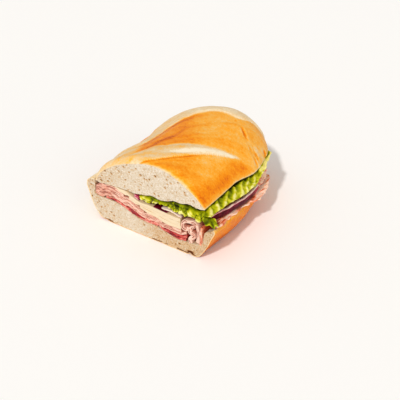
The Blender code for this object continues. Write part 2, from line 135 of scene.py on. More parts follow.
def join(t, span, start, end, leaving, arriving):
    """The cubic from start to end, as t goes from 0 to 1 over a span, with the slopes given."""
    rise = start * (1 + 2 * t) * (1 - t) ** 2 + end * t * t * (3 - 2 * t)
    return rise + span * t * (1 - t) * (leaving * (1 - t) - arriving * t)


def curve(x, line):
    """Height at x on a smooth curve through the line's stations, level beyond its ends."""
    at, height = (np.asarray(v, float) for v in line)
    slope = np.gradient(height, at)
    x = np.clip(x, at[0], at[-1])
    i = np.clip(np.searchsorted(at, x) - 1, 0, len(at) - 2)
    span = at[i + 1] - at[i]
    return join((x - at[i]) / span, span, height[i], height[i + 1], slope[i], slope[i + 1])


def taper(y, rule):
    """1 along the roll's body, falling to 0 at the tip of its heel."""
    start, power, root = rule
    s = np.clip((y - start) / (HEEL_Y - start), 0.0, 1.0)
    return (1.0 - s ** power) ** (1.0 / root)


def centre(y):
    """The middle of the section, which drifts left towards the heel."""
    s = (y - CUT_Y) / (HEEL_Y - CUT_Y)
    return towards(CROWN_X, HEEL_X, s * s)


def place(x, y, right=LOW_RIGHT_TAPER):
    """Where the section's x lies at y, with the right side narrowed by the given rule."""
    side = np.where(x < CROWN_X, taper(y, LEFT_TAPER), taper(y, right))
    return centre(y) + (x - CROWN_X) * side


def section_x(x, y, right=LOW_RIGHT_TAPER):
    """The section's x of a place at y: the opposite of place."""
    away = x - centre(y)
    side = np.where(away < 0, taper(y, LEFT_TAPER), taper(y, right))
    return CROWN_X + away / np.maximum(side, 0.05)


def closing(y):
    """0 where the roll is filled, rising to 1 where its halves meet in the heel."""
    return ease((y - FILLING_END - 3.0) / (POCKET_END - FILLING_END - 3.0))


def crown(angle, y):
    """The outer skin at an angle from the right horizon, as x and z: a squarish half ellipse."""
    power = 2.0 / CROWN_POWER
    c, s = np.cos(angle), np.sin(angle)
    reach = np.where(c < 0, CROWN_LEFT, CROWN_RIGHT)
    x = place(CROWN_X + reach * np.sign(c) * np.abs(c) ** power, y, TOP_RIGHT_TAPER)
    lobe = HEEL_LOBE * bell((y - 37.9) / 22.0)
    z = SPRING_Z + (CROWN_RISE + lobe) * taper(y, HEIGHT_TAPER) * np.abs(s) ** power
    return x, z


def crease(y):
    """The closed side of the split, on the left, as x and z."""
    return crown(np.pi - towards(CREASE_ANGLE, CLOSED_ANGLE, closing(y)), y)


def tip(y):
    """The thin right edge of the top half, as x and z."""
    return crown(towards(TIP_ANGLE, CLOSED_ANGLE, closing(y)), y)


def wall(z, belly):
    """The lower half's leaning wall at height z, in the section."""
    base = np.sign(belly) * BASE_HALF
    return towards(base, belly, (np.clip(z, 0.0, None) / BELLY_Z) ** WALL_POWER)


def lip(y):
    """The top of the lower half's open side, as x and z. It meets the tip in the heel."""
    shut = closing(y)
    tip_x, tip_z = tip(y)
    z = curve(y, LIP_Z)
    x = place(wall(z - LIP_ROLL, BELLY_RIGHT) - LIP_INSET, y)
    return towards(x, tip_x, shut), towards(z, tip_z - GAP, shut)


def ceiling(x, y):
    """The underside of the top half."""
    left_x, left_z = crease(y)
    right_x, right_z = tip(y)
    across = np.clip((x - left_x) / np.maximum(right_x - left_x, 0.01), 0.0, 1.0)
    chord = towards(left_z, right_z, across)
    cut_left, cut_right = crease(CUT_Y), tip(CUT_Y)
    sx = section_x(x, y, TOP_RIGHT_TAPER)
    share = np.clip((sx - cut_left[0]) / (cut_right[0] - cut_left[0]), 0.0, 1.0)
    straight = towards(cut_left[1], cut_right[1], share)
    ends = ease(share / 0.06) * ease((1.0 - share) / 0.06)
    return chord + (curve(sx, TOP_UNDERSIDE) - straight) * ends * (1.0 - closing(y))


print("width and height of the cut face:", round(float(lip(CUT_Y)[0] - crease(CUT_Y)[0])), "and",
      round(float(crown(np.pi / 2, CUT_Y)[1])))

# %% [markdown]
# ## Unevenness
# Nothing baked or sliced by hand is even. A Displace modifier could move the points, but bumps
# that are worked out here can also go into edges and colour masks. Random heights at the corners
# of a lattice, blended with an S curve, give smooth bumps of a chosen size. The heights are mixed
# from the corner's own whole numbers, so every run gives the same bumps.

# %% Smooth random bumps
def lattice(cell, seed):
    """A random number from 0 to 1 for each corner, stirred from its three whole numbers."""
    n = cell[..., 0] * 374761393 + cell[..., 1] * 668265263 + cell[..., 2] * 942435901 + seed * 974711
    n = n & 0xFFFFFFFF
    n = ((n ^ (n >> 13)) * 1274126177) & 0xFFFFFFFF
    return ((n ^ (n >> 16)) & 0xFFFF) / 65535.0


def bumps(points, size, seed=0, octaves=1):
    """Bumps between -1 and 1, about as wide as size. Each further octave adds bumps half as
    wide and half as high."""
    total = 0.0
    for octave in range(octaves):
        q = np.asarray(points) * 2.0 ** octave / size
        cell = np.floor(q).astype(np.int64)
        t = q - cell
        t = t * t * (3.0 - 2.0 * t)
        value = 0.0
        for corner in np.ndindex(2, 2, 2):
            weight = np.prod(np.where(np.array(corner) == 1, t, 1.0 - t), axis=-1)
            value = value + weight * lattice(cell + np.array(corner), seed + 31 * octave)
        total = total + (2.0 * value - 1.0) / 2.0 ** octave
    return total


def points(x, y, z):
    """Three arrays as one array of points."""
    return np.stack(np.broadcast_arrays(x, y, z), axis=-1).astype(float)


def unit(vectors):
    """Each vector over its own length."""
    return vectors / np.maximum(np.linalg.norm(vectors, axis=-1, keepdims=True), 1e-9)


def outwards(grid):
    """Unit vectors square to a grid of points, from the cross product of its two directions."""
    return unit(np.cross(np.gradient(grid, axis=0), np.gradient(grid, axis=1)))


print("bumps at three places:", np.round(bumps(np.array([[0, 0, 0], [3, 1, 2], [9, 9, 9]]), 4.0), 2))

# %% [markdown]
# ## From grids to closed skins
# Every piece is made of a few grids of points that meet along their edges. Bodies could be cut and
# joined with Booleans, but grids that share an edge need none: points that fall on the same spot
# become one, and the skin closes without a seam. Masks travel with the points: each is a number
# from 0 to 1, such as how browned the crust is, which the materials read.

# %% Closed skin from grids
def skin(name, patches, masks, material, slot, *nodes):
    """One closed mesh from grids that meet along their edges. A mask holds one array a patch."""
    flat = np.concatenate([patch.reshape(-1, 3) for patch in patches])
    spots, first, where = np.unique(np.round(flat, 3), axis=0, return_index=True, return_inverse=True)
    where = where.ravel()
    faces, start = [], 0
    for patch in patches:
        rows, columns = patch.shape[:2]
        at = where[start:start + rows * columns].reshape(rows, columns)
        a, b, c, d = at[:-1, :-1], at[:-1, 1:], at[1:, 1:], at[1:, :-1]
        faces += [np.stack(three, -1).reshape(-1, 3) for three in ((a, b, c), (a, c, d))]
        start += rows * columns
    faces = np.concatenate(faces)
    apart = (faces != np.roll(faces, 1, axis=1)).all(axis=1)
    mesh = bpy.data.meshes.new(name)
    mesh.from_pydata(spots * MM, [], faces[apart])
    form = bmesh.new()
    form.from_mesh(mesh)
    bmesh.ops.recalc_face_normals(form, faces=form.faces)
    form.to_mesh(mesh)
    form.free()
    for mask, values in masks.items():
        spread = [np.broadcast_to(v, p.shape[:2]).ravel() for v, p in zip(values, patches)]
        layer = mesh.attributes.new(mask, "FLOAT", "POINT")
        layer.data.foreach_set("value", np.concatenate(spread)[first].astype(np.float32))
    mesh.shade_smooth()
    mesh.materials.append(material)
    piece = bpy.data.objects.new(name, mesh)
    bpy.context.collection.objects.link(piece)
    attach(piece, "root")
    if nodes:
        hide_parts(*nodes)
    print(name, "has", int(apart.sum()), "triangles")


def rims_of(under, over, rows):
    """The four rims that close two skins: at the first and last row, then at both columns."""
    ends = [(under[k], over[k]) for k in (0, -1)] + [(under[:, k], over[:, k]) for k in (0, -1)]
    return [np.linspace(low, high, rows) for low, high in ends]


small = np.zeros((4, 6, 3))
print("rims of a grid with 4 by 6 points:", [rim.shape[:2] for rim in rims_of(small, small + 1.0, 3)])

# %% [markdown]
# ## Finishes
# Food is never one flat colour. A picture could be wrapped round each piece, but it blurs up
# close. Here each finish is a Principled shader whose colour comes from a mask through a ramp of
# tones, broken up by noise of the right size, with a fine bump on top. This small helper puts the
# nodes in, so that each finish below reads as a recipe.

# %% Helper for finishes
def tone(red, green, blue):
    """A display colour, 0 to 255, as the linear values that a shader takes: the power curve of
    displays, with its straight start."""
    c = np.array([red, green, blue]) / 255.0
    linear = np.where(c <= 0.04045, c / 12.92, ((c + 0.055) / 1.055) ** 2.4)
    return (*linear.tolist(), 1.0)


class Finish:
    """A material that is put together step by step. Each method adds a node and gives its output."""

    def __init__(self, name, roughness, specular):
        self.material = bpy.data.materials.new(name)
        self.material.use_nodes = True
        self.nodes = self.material.node_tree.nodes
        self.shader = self.nodes["Principled BSDF"]
        self.shader.inputs["Roughness"].default_value = roughness
        self.shader.inputs["Specular IOR Level"].default_value = specular
        self.place = self.nodes.new("ShaderNodeTexCoord").outputs["Object"]

    def feed(self, value, socket):
        """Joins an output to a socket, or sets the socket to a plain value."""
        if isinstance(value, bpy.types.NodeSocket):
            self.material.node_tree.links.new(value, socket)
        else:
            socket.default_value = value

    def mask(self, name):
        """A mask that was stored with the points."""
        node = self.nodes.new("ShaderNodeAttribute")
        node.attribute_name = name
        return node.outputs["Fac"]

    def noise(self, size, detail, stretch=(1.0, 1.0, 1.0)):
        """Clouds from 0 to 1, about size mm wide, drawn out along each axis by stretch."""
        node = self.nodes.new("ShaderNodeMapping")
        node.inputs["Scale"].default_value = [1.0 / (size * MM * s) for s in stretch]
        self.feed(self.place, node.inputs["Vector"])
        cloud = self.nodes.new("ShaderNodeTexNoise")
        cloud.inputs["Scale"].default_value = 1.0
        cloud.inputs["Detail"].default_value = detail
        self.feed(node.outputs["Vector"], cloud.inputs["Vector"])
        return cloud.outputs["Fac"]

    def sum(self, value, other, share, centre=0.5):
        """The value plus a share of another, counted from its centre."""
        node = self.nodes.new("ShaderNodeMath")
        node.operation = "MULTIPLY_ADD"
        self.feed(other, node.inputs[0])
        node.inputs[1].default_value = share
        shift = self.nodes.new("ShaderNodeMath")
        shift.operation = "SUBTRACT"
        self.feed(value, shift.inputs[0])
        shift.inputs[1].default_value = share * centre
        self.feed(shift.outputs[0], node.inputs[2])
        return node.outputs[0]

    def ramp(self, value, stops):
        """Tones along a ramp: each stop is a place from 0 to 1 and a display colour."""
        node = self.nodes.new("ShaderNodeValToRGB")
        elements = node.color_ramp.elements
        while len(elements) < len(stops):
            elements.new(1.0)
        for element, (at, *colour) in zip(elements, stops):
            element.position = at
            element.color = tone(*colour)
        self.feed(value, node.inputs["Fac"])
        return node.outputs["Color"]

    def mix(self, share, first, second):
        """Between two colours. The node's colour sockets come after those for other values."""
        node = self.nodes.new("ShaderNodeMix")
        node.data_type = "RGBA"
        self.feed(share, node.inputs[0])
        self.feed(first, node.inputs[6])
        self.feed(second, node.inputs[7])
        return node.outputs[2]

    def colour(self, value):
        """Sets the surface's colour."""
        self.feed(value, self.shader.inputs["Base Color"])

    def bump(self, height, depth, strength):
        """Fine relief, depth in mm."""
        node = self.nodes.new("ShaderNodeBump")
        node.inputs["Strength"].default_value = strength
        node.inputs["Distance"].default_value = depth * MM
        self.feed(height, node.inputs["Height"])
        self.feed(node.outputs["Normal"], self.shader.inputs["Normal"])


print("a mid grey as light:", round(tone(128, 128, 128)[0], 3))

# %% [markdown]
# ## Bread
# The roll's crust is thin and glossy, orange where it browned and cream where the baker's cuts
# opened and pale dough rose late in the oven. Inside is white crumb full of small round holes.
# Two materials would meet in a hard line, and crust fades into crumb, so one finish holds both: a
# bake mask runs along the crust's tones, a pore mask along the crumb's, and a crumb mask says
# which of the two shows.

# %% Bread finish
CRUST_TONES = (
    (0.0, 250, 236, 208),
    (0.15, 240, 216, 174),
    (0.3, 236, 198, 140),
    (0.45, 246, 184, 84),
    (0.58, 248, 168, 44),
    (0.72, 244, 146, 10),
    (0.86, 232, 122, 2),
    (1.0, 198, 92, 2),
)
CRUMB_TONES = (
    (0.0, 230, 219, 206),
    (0.28, 210, 194, 170),
    (0.5, 204, 168, 126),
    (0.75, 150, 106, 60),
    (1.0, 92, 44, 16),
)


def bread_finish():
    """Crust tones by how browned it is, crumb tones by how deep its holes are; the deeper holes are
    painted darker, as painted shade.
    """
    finish = Finish("baked_bread", 0.5, 0.12)
    bake = finish.sum(finish.mask("bake"), finish.noise(7.0, 4.0), 0.32)
    bake = finish.sum(bake, finish.noise(2.6, 3.0), 0.28)
    bake = finish.sum(bake, finish.noise(1.3, 3.0), 0.30)
    fine = finish.noise(1.1, 2.0)
    holes = finish.sum(finish.mask("pore"), fine, 0.95, 0.29)
    holes = finish.sum(holes, finish.noise(5.0, 2.0), 0.3)
    crumb = finish.mask("crumb")
    finish.colour(finish.mix(crumb, finish.ramp(bake, CRUST_TONES), finish.ramp(holes, CRUMB_TONES)))
    finish.feed(finish.sum(0.46, crumb, 0.5, 0.0), finish.shader.inputs["Roughness"])
    finish.bump(fine, 0.3, 0.6)
    return finish.material


bread = bread_finish()
print("bread finish:", bread.name)

# %% [markdown]
# ## Scores, creases and browning on the crown
# The baker slashed the dough askew before baking. Each slash opened into a pale band that stands
# above the browned lobes beside it: one in front of the first band, one between the two, and one
# at the back. The skin also creased along the slashes on the left, and wrinkled round the heel.
# This could be painted on a flat map, but the bands are relief too, so one formula gives both.
# They run straight in a turned frame, so they are measured along and across that frame, and every
# mask is a smooth step or a bell around one of their edges.

# %% Scored crown
BAND_TURN = np.radians(36.7)
BAND_RISE = 1.3
BACK_BAND_RISE = 1.2
BAND_TOP_EDGE = (
    (-62.0, -47.6, -35.4, -28.5, -21.4, -14.5, -7.7, -2.5, 4.4, 14.9, 20.1, 25.6),
    (-38.0, -34.4, -29.5, -31.1, -30.3, -30.2, -31.0, -32.0, -33.0, -33.3, -32.9, -32.0),
)
BAND_LOW_EDGE = (
    (-43.6, -33.7, -28.5, -22.0, -15.2, -8.3, -1.4, 5.6, 12.7, 18.1, 25.5),
    (-53.7, -53.8, -52.6, -50.8, -48.9, -46.4, -43.8, -41.6, -39.6, -37.2, -32.2),
)
BACK_BAND_EDGE = (
    (-42.0, -33.8, -29.2, -22.6, -16.1, -9.4, -3.7, 2.0, 7.7, 13.2, 17.6, 22.0, 25.5, 31.1, 37.2, 40.3),
    (-16.0, -4.0, 3.9, 8.1, 13.0, 15.4, 19.0, 19.5, 19.9, 18.6, 15.4, 12.0, 9.6, 9.5, 13.0, 14.9),
)
CREASE_LINE = (
    (-60.0, -50.0, -41.4, -37.3, -32.0, -26.6, -21.2, -16.5, -13.8, -6.0),
    (-40.0, -35.5, -30.9, -24.9, -19.3, -16.2, -13.9, -8.8, -4.1, 3.0),
)
LEFT_PALE = (
    (-70.5, -62.0, -56.0, -50.0, -42.0, -30.0, -20.0, -8.0),
    (-6.0, -11.0, -15.0, -18.0, -22.0, -28.0, -33.0, -40.0),
)
# The waist of the left side: where its middle lies, its length and its depth
WAIST = (-16.0, 22.0, 3.6)
# How far the crown sinks at the cut, by its angle in degrees
CUT_SINK = (
    (24.0, 38.0, 52.0, 67.0, 81.0, 93.0, 103.0, 111.0, 121.0, 134.0, 152.0, 172.0),
    (0.2, 0.9, 2.0, 2.0, 1.4, 0.8, 1.2, 2.2, 2.8, 3.2, 2.7, 2.3),
)
# How far out and down the right edge sags where it sags most
DROOP_WAY = np.array([3.8, 0.0, -3.4])
WRINKLES = (
    ((16.2, 20.6), (23.8, 17.1), (31.9, 10.9), (38.2, 5.5), (42.6, 2.6), (46.2, -0.4)),
    ((36.0, 12.0), (38.0, 8.9), (42.3, 6.6), (46.5, 7.0)),
    ((38.5, 22.0), (42.0, 18.2), (45.5, 16.0)),
)


def line_distance(x, y, line):
    """Distance in plan to a chain of straight stretches: the least of the distances to each."""
    best = np.full(np.broadcast(x, y).shape, 1e9)
    for (ax, ay), (bx, by) in zip(line, line[1:]):
        share = ((x - ax) * (bx - ax) + (y - ay) * (by - ay)) / ((bx - ax) ** 2 + (by - ay) ** 2)
        share = np.clip(share, 0.0, 1.0)
        best = np.minimum(best, np.hypot(x - ax - share * (bx - ax), y - ay - share * (by - ay)))
    return best


def wrinkled(x, y, z):
    """Relief and bake of the wrinkles: each is a groove between low ridges, painted darker in the
    groove as painted shade and paler on the ridges as painted highlight. Bumps are added to the
    distance from its line, so it fades at some places and splits in two at others."""
    relief, bake = 0.0, 0.0
    for line in WRINKLES:
        away = line_distance(x, y, line) + 0.9 * bumps(points(x, y, z), 3.4, 12)
        faint = ease(0.65 + 1.1 * bumps(points(x, y, z), 4.5, 14))
        relief = relief + (0.30 * bell((away - 2.0) / 1.3) - 0.60 * bell(away / 0.7)) * faint
        # Darker in the groove and paler on the ridges beside it: painted shade and painted highlight.
        bake = bake + (0.42 * bell(away / 0.6) - 0.08 * bell((away - 1.8) / 1.1)) * faint
    return relief, bake


def scored(x, y, z):
    """The crown's relief in mm and how browned it is, with painted shade in its creases and wrinkles
    and a painted highlight on the first band. Each band, lobe and crease is a mask from smooth steps
    and bells of the distance from its edge. Bake starts as the lobes have it, and each paler or
    browner stretch draws it towards its own."""
    along = x * np.cos(BAND_TURN) + y * np.sin(BAND_TURN)
    across = y * np.cos(BAND_TURN) - x * np.sin(BAND_TURN)
    streaks = bumps(points(along / 8.0, across, 0.0), 2.6, 5, 3)
    top, low = curve(along, BAND_TOP_EDGE), curve(along, BAND_LOW_EDGE)
    back, fold = curve(along, BACK_BAND_EDGE), curve(along, CREASE_LINE)

    # Where each form lies
    band = ease((top - across) / 8.0) * ease((across - low) / 1.6)
    soft = 3.0 + 2.0 * ease((-30.0 - along) / 12.0)
    pale = ease((top - across + 1.2) / soft) * ease((across - low) / 0.8)
    # A paler stripe along the first band, a little above its lower edge, is a painted highlight where the
    # band faces the sun.
    crest_highlight = bell((across - low - 4.8 + 0.10 * along) / 3.1) * ease((along + 36.0) / 22.0)
    front = ease((low - across) / 1.5)
    far = ease((across - back) / 1.6)
    beyond = ease((across - back - 30.0 + 2.0 * streaks) / 6.0)
    left = ease((curve(y, LEFT_PALE) - x) / 7.0)
    crease_span = ease((-10.0 - along) / 8.0) * ease((along + 52.0) / 10.0)
    groove = bell((across - fold) / 0.9) * crease_span
    wedge = bell((across - fold + 2.8) / 3.2) * crease_span
    edge_shade = bell((across - back + 3.2) / 3.4) * (1.0 - far) * ease((8.0 - along) / 10.0)
    wrinkle_relief, wrinkle_shading = wrinkled(x, y, z)

    # The browned lobes, deeper along the creases and down the front one. The thin dark line in each
    # crease's groove and the band just in front of the back band's edge are painted shade; the broader
    # band beside each crease is browning.
    bake = 0.55 + 0.07 * streaks - 0.03 * ease((along - 22.0) / 20.0)
    bake = bake + 0.22 * wedge + 0.06 * groove + 0.16 * edge_shade + 0.18 * ease((4.0 - along) / 20.0)
    bake = bake + front * (0.30 * ease((59.0 - z) / 11.0) - 0.07 - 0.22 * ease((48.0 - z) / 5.0))
    bake = bake + 0.12 * bell((low - across - 0.4) / 0.7) * ease((8.0 - along) / 14.0)

    # The pale bands, the lobe beyond them, the corner by the cut, and the heel's open side
    bake = towards(bake, 0.33 + 0.12 * streaks - 0.33 * crest_highlight, pale)
    bake = towards(bake, 0.40 + 0.16 * streaks, left * (1.0 - 0.8 * wedge))
    bake = towards(bake, 0.17 + 0.05 * streaks + 0.10 * ease((-4.0 - along) / 12.0), far)
    bake = towards(bake, 0.60 + 0.10 * streaks, beyond)
    bake = towards(bake, 0.26 + 0.10 * streaks, ease((-20.0 - x) / 14.0) * ease((-44.0 - y) / 16.0))
    bake = bake - 0.10 * ease((x - 34.0) / 6.0) * ease((y + 1.0) / 9.0)

    relief = BAND_RISE * band + BACK_BAND_RISE * ease((across - back) / 4.0)
    relief = relief - 0.2 * groove - 0.15 * edge_shade + 0.10 * streaks
    relief = relief + 0.5 * bell((low - across - 1.6) / 1.3) * ease((20.0 - along) / 20.0)
    return relief + wrinkle_relief, bake + wrinkle_shading


middle = scored(np.array([[10.0]]), np.array([[-30.0]]), np.array([[64.0]]))
print("relief and bake in the middle of the crown:", np.round(np.ravel(middle), 2))

# %% [markdown]
# ## Crumb
# A cut through crumb opens the gas cells in its way. They could be cut out one by one, but a
# depth at every point is enough here. Each cell is a round hole, a bit longer than high, drawn
# at random: many small ones and few large, closer together to the left, where the crumb is most
# open. A point's depth is that of the deepest cell it lies in. Between them the knife leaves
# fine tears. The crumb's tone deepens a little to the left, and in the lower half to the right.

# %% Holes in the crumb
SMALLEST_CELL = 0.35
LARGEST_CELL = 1.1
# The higher these powers are, the more of the cells are small, and the more lie to the left
SMALLNESS = 14
CROWDING = 2.2


def pores(x, z, seed, count, span):
    """Depth of the opened cells: for each, a shallow half ellipsoid over its own size."""
    draw = np.random.default_rng(seed)
    left, right, low, high = span
    deep = np.zeros(np.broadcast(x, z).shape)
    for _ in range(count):
        size = towards(SMALLEST_CELL, LARGEST_CELL, draw.random() ** SMALLNESS)
        at_x = towards(left, right, draw.random() ** CROWDING)
        at_z = towards(low, high, draw.random())
        turn = draw.uniform(-0.6, 0.3)
        u = ((x - at_x) * np.cos(turn) + (z - at_z) * np.sin(turn)) / (1.2 * size)
        v = ((z - at_z) * np.cos(turn) - (x - at_x) * np.sin(turn)) / (0.9 * size)
        deep = np.maximum(deep, 0.8 * size * np.sqrt(np.clip(1.0 - u * u - v * v, 0.0, 1.0)))
    return deep


def cut_face(outer, inner, rows, seed, count, span, warmth):
    """The cut between two lines of points: straight across from one to the other, then pushed in
    by the pores. Gives the grid and its pore and crumb masks. Warmth deepens it to the right."""
    grid = np.linspace(outer, inner, rows)
    from_crust = np.linalg.norm(grid - outer[None], axis=-1)
    from_inside = np.linalg.norm(grid - inner[None], axis=-1)
    still = ease(from_crust / 1.2) * ease(from_inside / 0.6)
    deep = pores(grid[..., 0], grid[..., 2], seed, count, span) * still
    torn = 0.16 * bumps(grid, 1.3, seed + 1, 2) + 0.25 * bumps(grid, 6.0, seed + 2)
    grid[..., 1] += deep + (torn + 0.2) * still
    shade = 0.08 * ease((-12.0 - grid[..., 0]) / 22.0) + warmth * ease((grid[..., 0] + 24.0) / 44.0)
    # The deeper a point lies in a hole, the darker its crumb tone: painted shade in the holes.
    return grid, np.clip(deep / 1.55 + shade, 0.0, 1.0), ease((from_crust - 0.15) / 0.8)


trial = pores(np.linspace(-40, 40, 200)[None], np.linspace(34, 60, 60)[:, None], 3, 300, (-48, 44, 33, 62))
print("share of the crumb that is open:", round(float((trial > 0.1).mean()), 2))

# %% [markdown]
# ## Top half of the roll
# The crown is a soft arch with a thin right edge that sags over the filling. A box that is
# rounded by subdivision would lose that edge, so its outer skin is a grid of angles round the
# crown against rows along the roll, lifted by the relief along its own normals. Its underside
# shares the two side edges, and the cut face joins the first rows of both, so the three grids
# close into one body.

# %% Top half
ROLL_ROWS = 150
ROLL_COLUMNS = 240
SAG_REACH = 17.0
# A cut face: rows, seed, number of cells, where they lie (left, right, low, high) and warmth
TOP_CUT = (64, 40, 1500, (-50.0, 46.0, 33.0, 65.0), 0.0)


def roll_rows():
    """Rows along the roll, closer together round the heel."""
    turn = np.linspace(0.0, 1.0, ROLL_ROWS)[:, None]
    return towards(CUT_Y, HEEL_Y, np.sin(turn * np.pi / 2.0) ** 1.15)


def droop(y):
    """How far the crown's right edge sags, from 0 at the cut to 1 near the heel and back."""
    return ease((y + 32.0) / 30.0) * ease((47.0 - y) / 22.0)


def roll_top():
    """The crown, its underside and its cut face. The crown's points move out along their normals
    by the relief and some unevenness, less a waist on the left and a dip at the cut. Its right
    edge then sags by the droop, and the underside sags with it."""
    y = roll_rows()
    first = towards(TIP_ANGLE, CLOSED_ANGLE, closing(y))
    last = np.pi - towards(CREASE_ANGLE, CLOSED_ANGLE, closing(y))
    share = np.linspace(0.0, 1.0, ROLL_COLUMNS)[None]
    angle = towards(first, last, share)
    x, z = crown(angle, y)
    grid = points(x, y, z)
    relief, bake = scored(x, y, z)
    relief = relief * ease((z - SPRING_Z - 6.0) / 10.0) * 0.85 * ease((y - CUT_Y + 0.5) / 6.0)
    relief = relief + 0.35 * bumps(grid, 19.0, 3, 2) + 0.07 * bumps(grid, 2.4, 8, 2)
    middle, length, depth = WAIST
    relief = relief - depth * bell((y - middle) / length) * ease((-16.0 - x) / 20.0)
    at_cut = np.clip(1.0 - (y - CUT_Y) / 5.5, 0.0, 1.0) ** 2
    relief = relief - curve(np.degrees(angle), CUT_SINK) * at_cut
    outer = grid + outwards(grid) * (relief * ease((HEEL_Y - y) / 1.5))[..., None]
    outer[0, :, 1] = CUT_Y
    outer = outer + (droop(y) * ease((0.22 - share) / 0.22) ** 1.5)[..., None] * DROOP_WAY
    from_tip = np.linalg.norm(grid - grid[:, :1], axis=-1)
    bake = bake - 0.30 * bell(from_tip / 0.8) - 0.40 * bell((y - CUT_Y) / 1.1) * ease((x + 20.0) / 30.0)
    across = towards(outer[:, :1, 0], outer[:, -1:, 0], share)
    under = points(across, y, ceiling(across, y))
    under[..., 2] += 0.35 * bumps(under, 3.0, 21, 2) * ease(share / 0.05) * ease((1.0 - share) / 0.05)
    inwards = outer[:, :1, 0] - across
    sag = ease((SAG_REACH - inwards) / SAG_REACH) ** 1.5 * DROOP_WAY[2]
    sag = sag - 0.7 * ease(inwards / 2.0) * ease((SAG_REACH - inwards) / 9.0)
    under[..., 2] += droop(y) * sag
    under[:, 0], under[:, -1] = outer[:, 0], outer[:, -1]
    face, deep, crumb = cut_face(outer[0], under[0], *TOP_CUT)
    inside = ease(share / 0.02) * ease((1.0 - share) / 0.02)
    masks = {"bake": (bake, 0.2, 0.2), "crumb": (0.0, inside, crumb), "pore": (0.0, 0.2, deep)}
    skin("crown_of_the_roll", [outer, under, face], masks, bread, "bread", "roll_top")


roll_top()

# %% [markdown]
# ## Bottom half of the roll
# The lower half is a trough: flat browned base, walls that lean out, a pale lip on the open side
# and a soft hollow floor. One formula for so uneven a section would be long, so its outside and
# its inside are smooth lines through a few stations, carried along the roll. The base crust
# wrinkled up at some places, which shows as small dark gaps along the cut.

# %% Bottom half
SHOULDER = ((-54.6, 32.4), (-56.6, 29.4))
LEFT_INSIDE = ((-48.9, 31.2), (-49.3, 26.4), (-49.2, 22.2), (-48.6, 20.8))
RIGHT_INSIDE = ((47.2, 14.6), (48.0, 19.0), (49.4, 24.4), (53.0, 26.4))
HEEL_OF_WALL = ((46.4, 4.4), (44.4, 1.8), (42.0, 0.5), (38.5, 0.0))
LEFT_BULGE = 2.0
RIGHT_BULGE = 2.8
LOW_CUT = (56, 60, 1000, (-56.0, 55.0, 0.0, 34.0), 0.26)
# Where the base crust wrinkles up along the cut: the middle, half the width and the height
BASE_LIFTS = ((36.6, 1.4, 1.4), (-40.0, 2.4, 0.9), (-29.0, 1.2, 0.7), (-8.0, 2.0, 0.4), (12.0, 1.4, 0.5))


def through(stations, count):
    """Smooth lines through stations: for every row, a curve that passes all of them, with its
    points spread evenly by the first row's length."""
    step = np.linalg.norm(np.diff(stations[0], axis=0), axis=1)
    at = np.concatenate([[0.0], np.cumsum(step)])
    slope = np.gradient(stations, at, axis=1)
    s = np.linspace(0.0, at[-1], count)
    i = np.clip(np.searchsorted(at, s) - 1, 0, len(at) - 2)
    span = (at[i + 1] - at[i])[None, :, None]
    t = (s - at[i])[None, :, None] / span
    return join(t, span, stations[:, i], stations[:, i + 1], slope[:, i], slope[:, i + 1])


def trough_outside(y, notch, edge):
    """Stations of the outside: notch, shoulder, left wall, base, right wall and lip."""
    heel = np.array(HEEL_OF_WALL)
    left_z = np.array([26.8, 22.0, 17.0, 12.0, 8.0])
    base_x = np.linspace(-30.0, 30.0, 9)
    right_z = (edge[1] - LIP_ROLL) * np.linspace(0.3, 1.0, 6)[None]
    x = [np.array(SHOULDER)[:, 0], wall(left_z, BELLY_LEFT), -heel[:, 0], base_x, heel[::-1, 0]]
    z = [np.array(SHOULDER)[:, 1], left_z, heel[:, 1], 0.0 * base_x, heel[::-1, 1]]
    x = np.concatenate([np.concatenate(x)[None] + 0.0 * y, wall(right_z, BELLY_RIGHT)], axis=1)
    z = np.concatenate([np.concatenate(z)[None] + 0.0 * y, right_z], axis=1)
    z = towards(SPRING_Z, z, taper(y, BASE_TAPER))
    seam = towards(notch[1], edge[1], closing(y))
    z = np.minimum(z, seam - 0.5 * ease(HEEL_Y - y))
    x = np.concatenate([notch[0], place(x, y), edge[0]], axis=1)
    z = np.concatenate([notch[1], z, edge[1]], axis=1)
    return points(x, y, z)


def trough_inside(y, notch, edge):
    """Stations of the inside: down the closed wall, over the floor and up to the lip."""
    floor_x = np.linspace(-46.0, 44.8, 22)
    left, right = np.array(LEFT_INSIDE).T, np.array(RIGHT_INSIDE).T
    x = np.concatenate([left[0], floor_x, right[0]])
    z = np.concatenate([left[1], curve(floor_x, FLOOR), right[1]])
    z = z + (edge[1] - curve(CUT_Y, LIP_Z)) * ease((x - right[0, 0]) / (right[0, -1] - right[0, 0]))
    x = np.concatenate([notch[0], place(x, y), edge[0]], axis=1)
    z = np.concatenate([notch[1], z, edge[1]], axis=1)
    shut, even = closing(y), np.linspace(0.0, 1.0, x.shape[1])[None]
    x = towards(x, towards(notch[0], edge[0], even), shut)
    z = towards(z, towards(notch[1], edge[1], even), shut)
    z[:, 1:-1] = np.minimum(z, ceiling(x, y) - GAP)[:, 1:-1]
    return points(x, y, z)


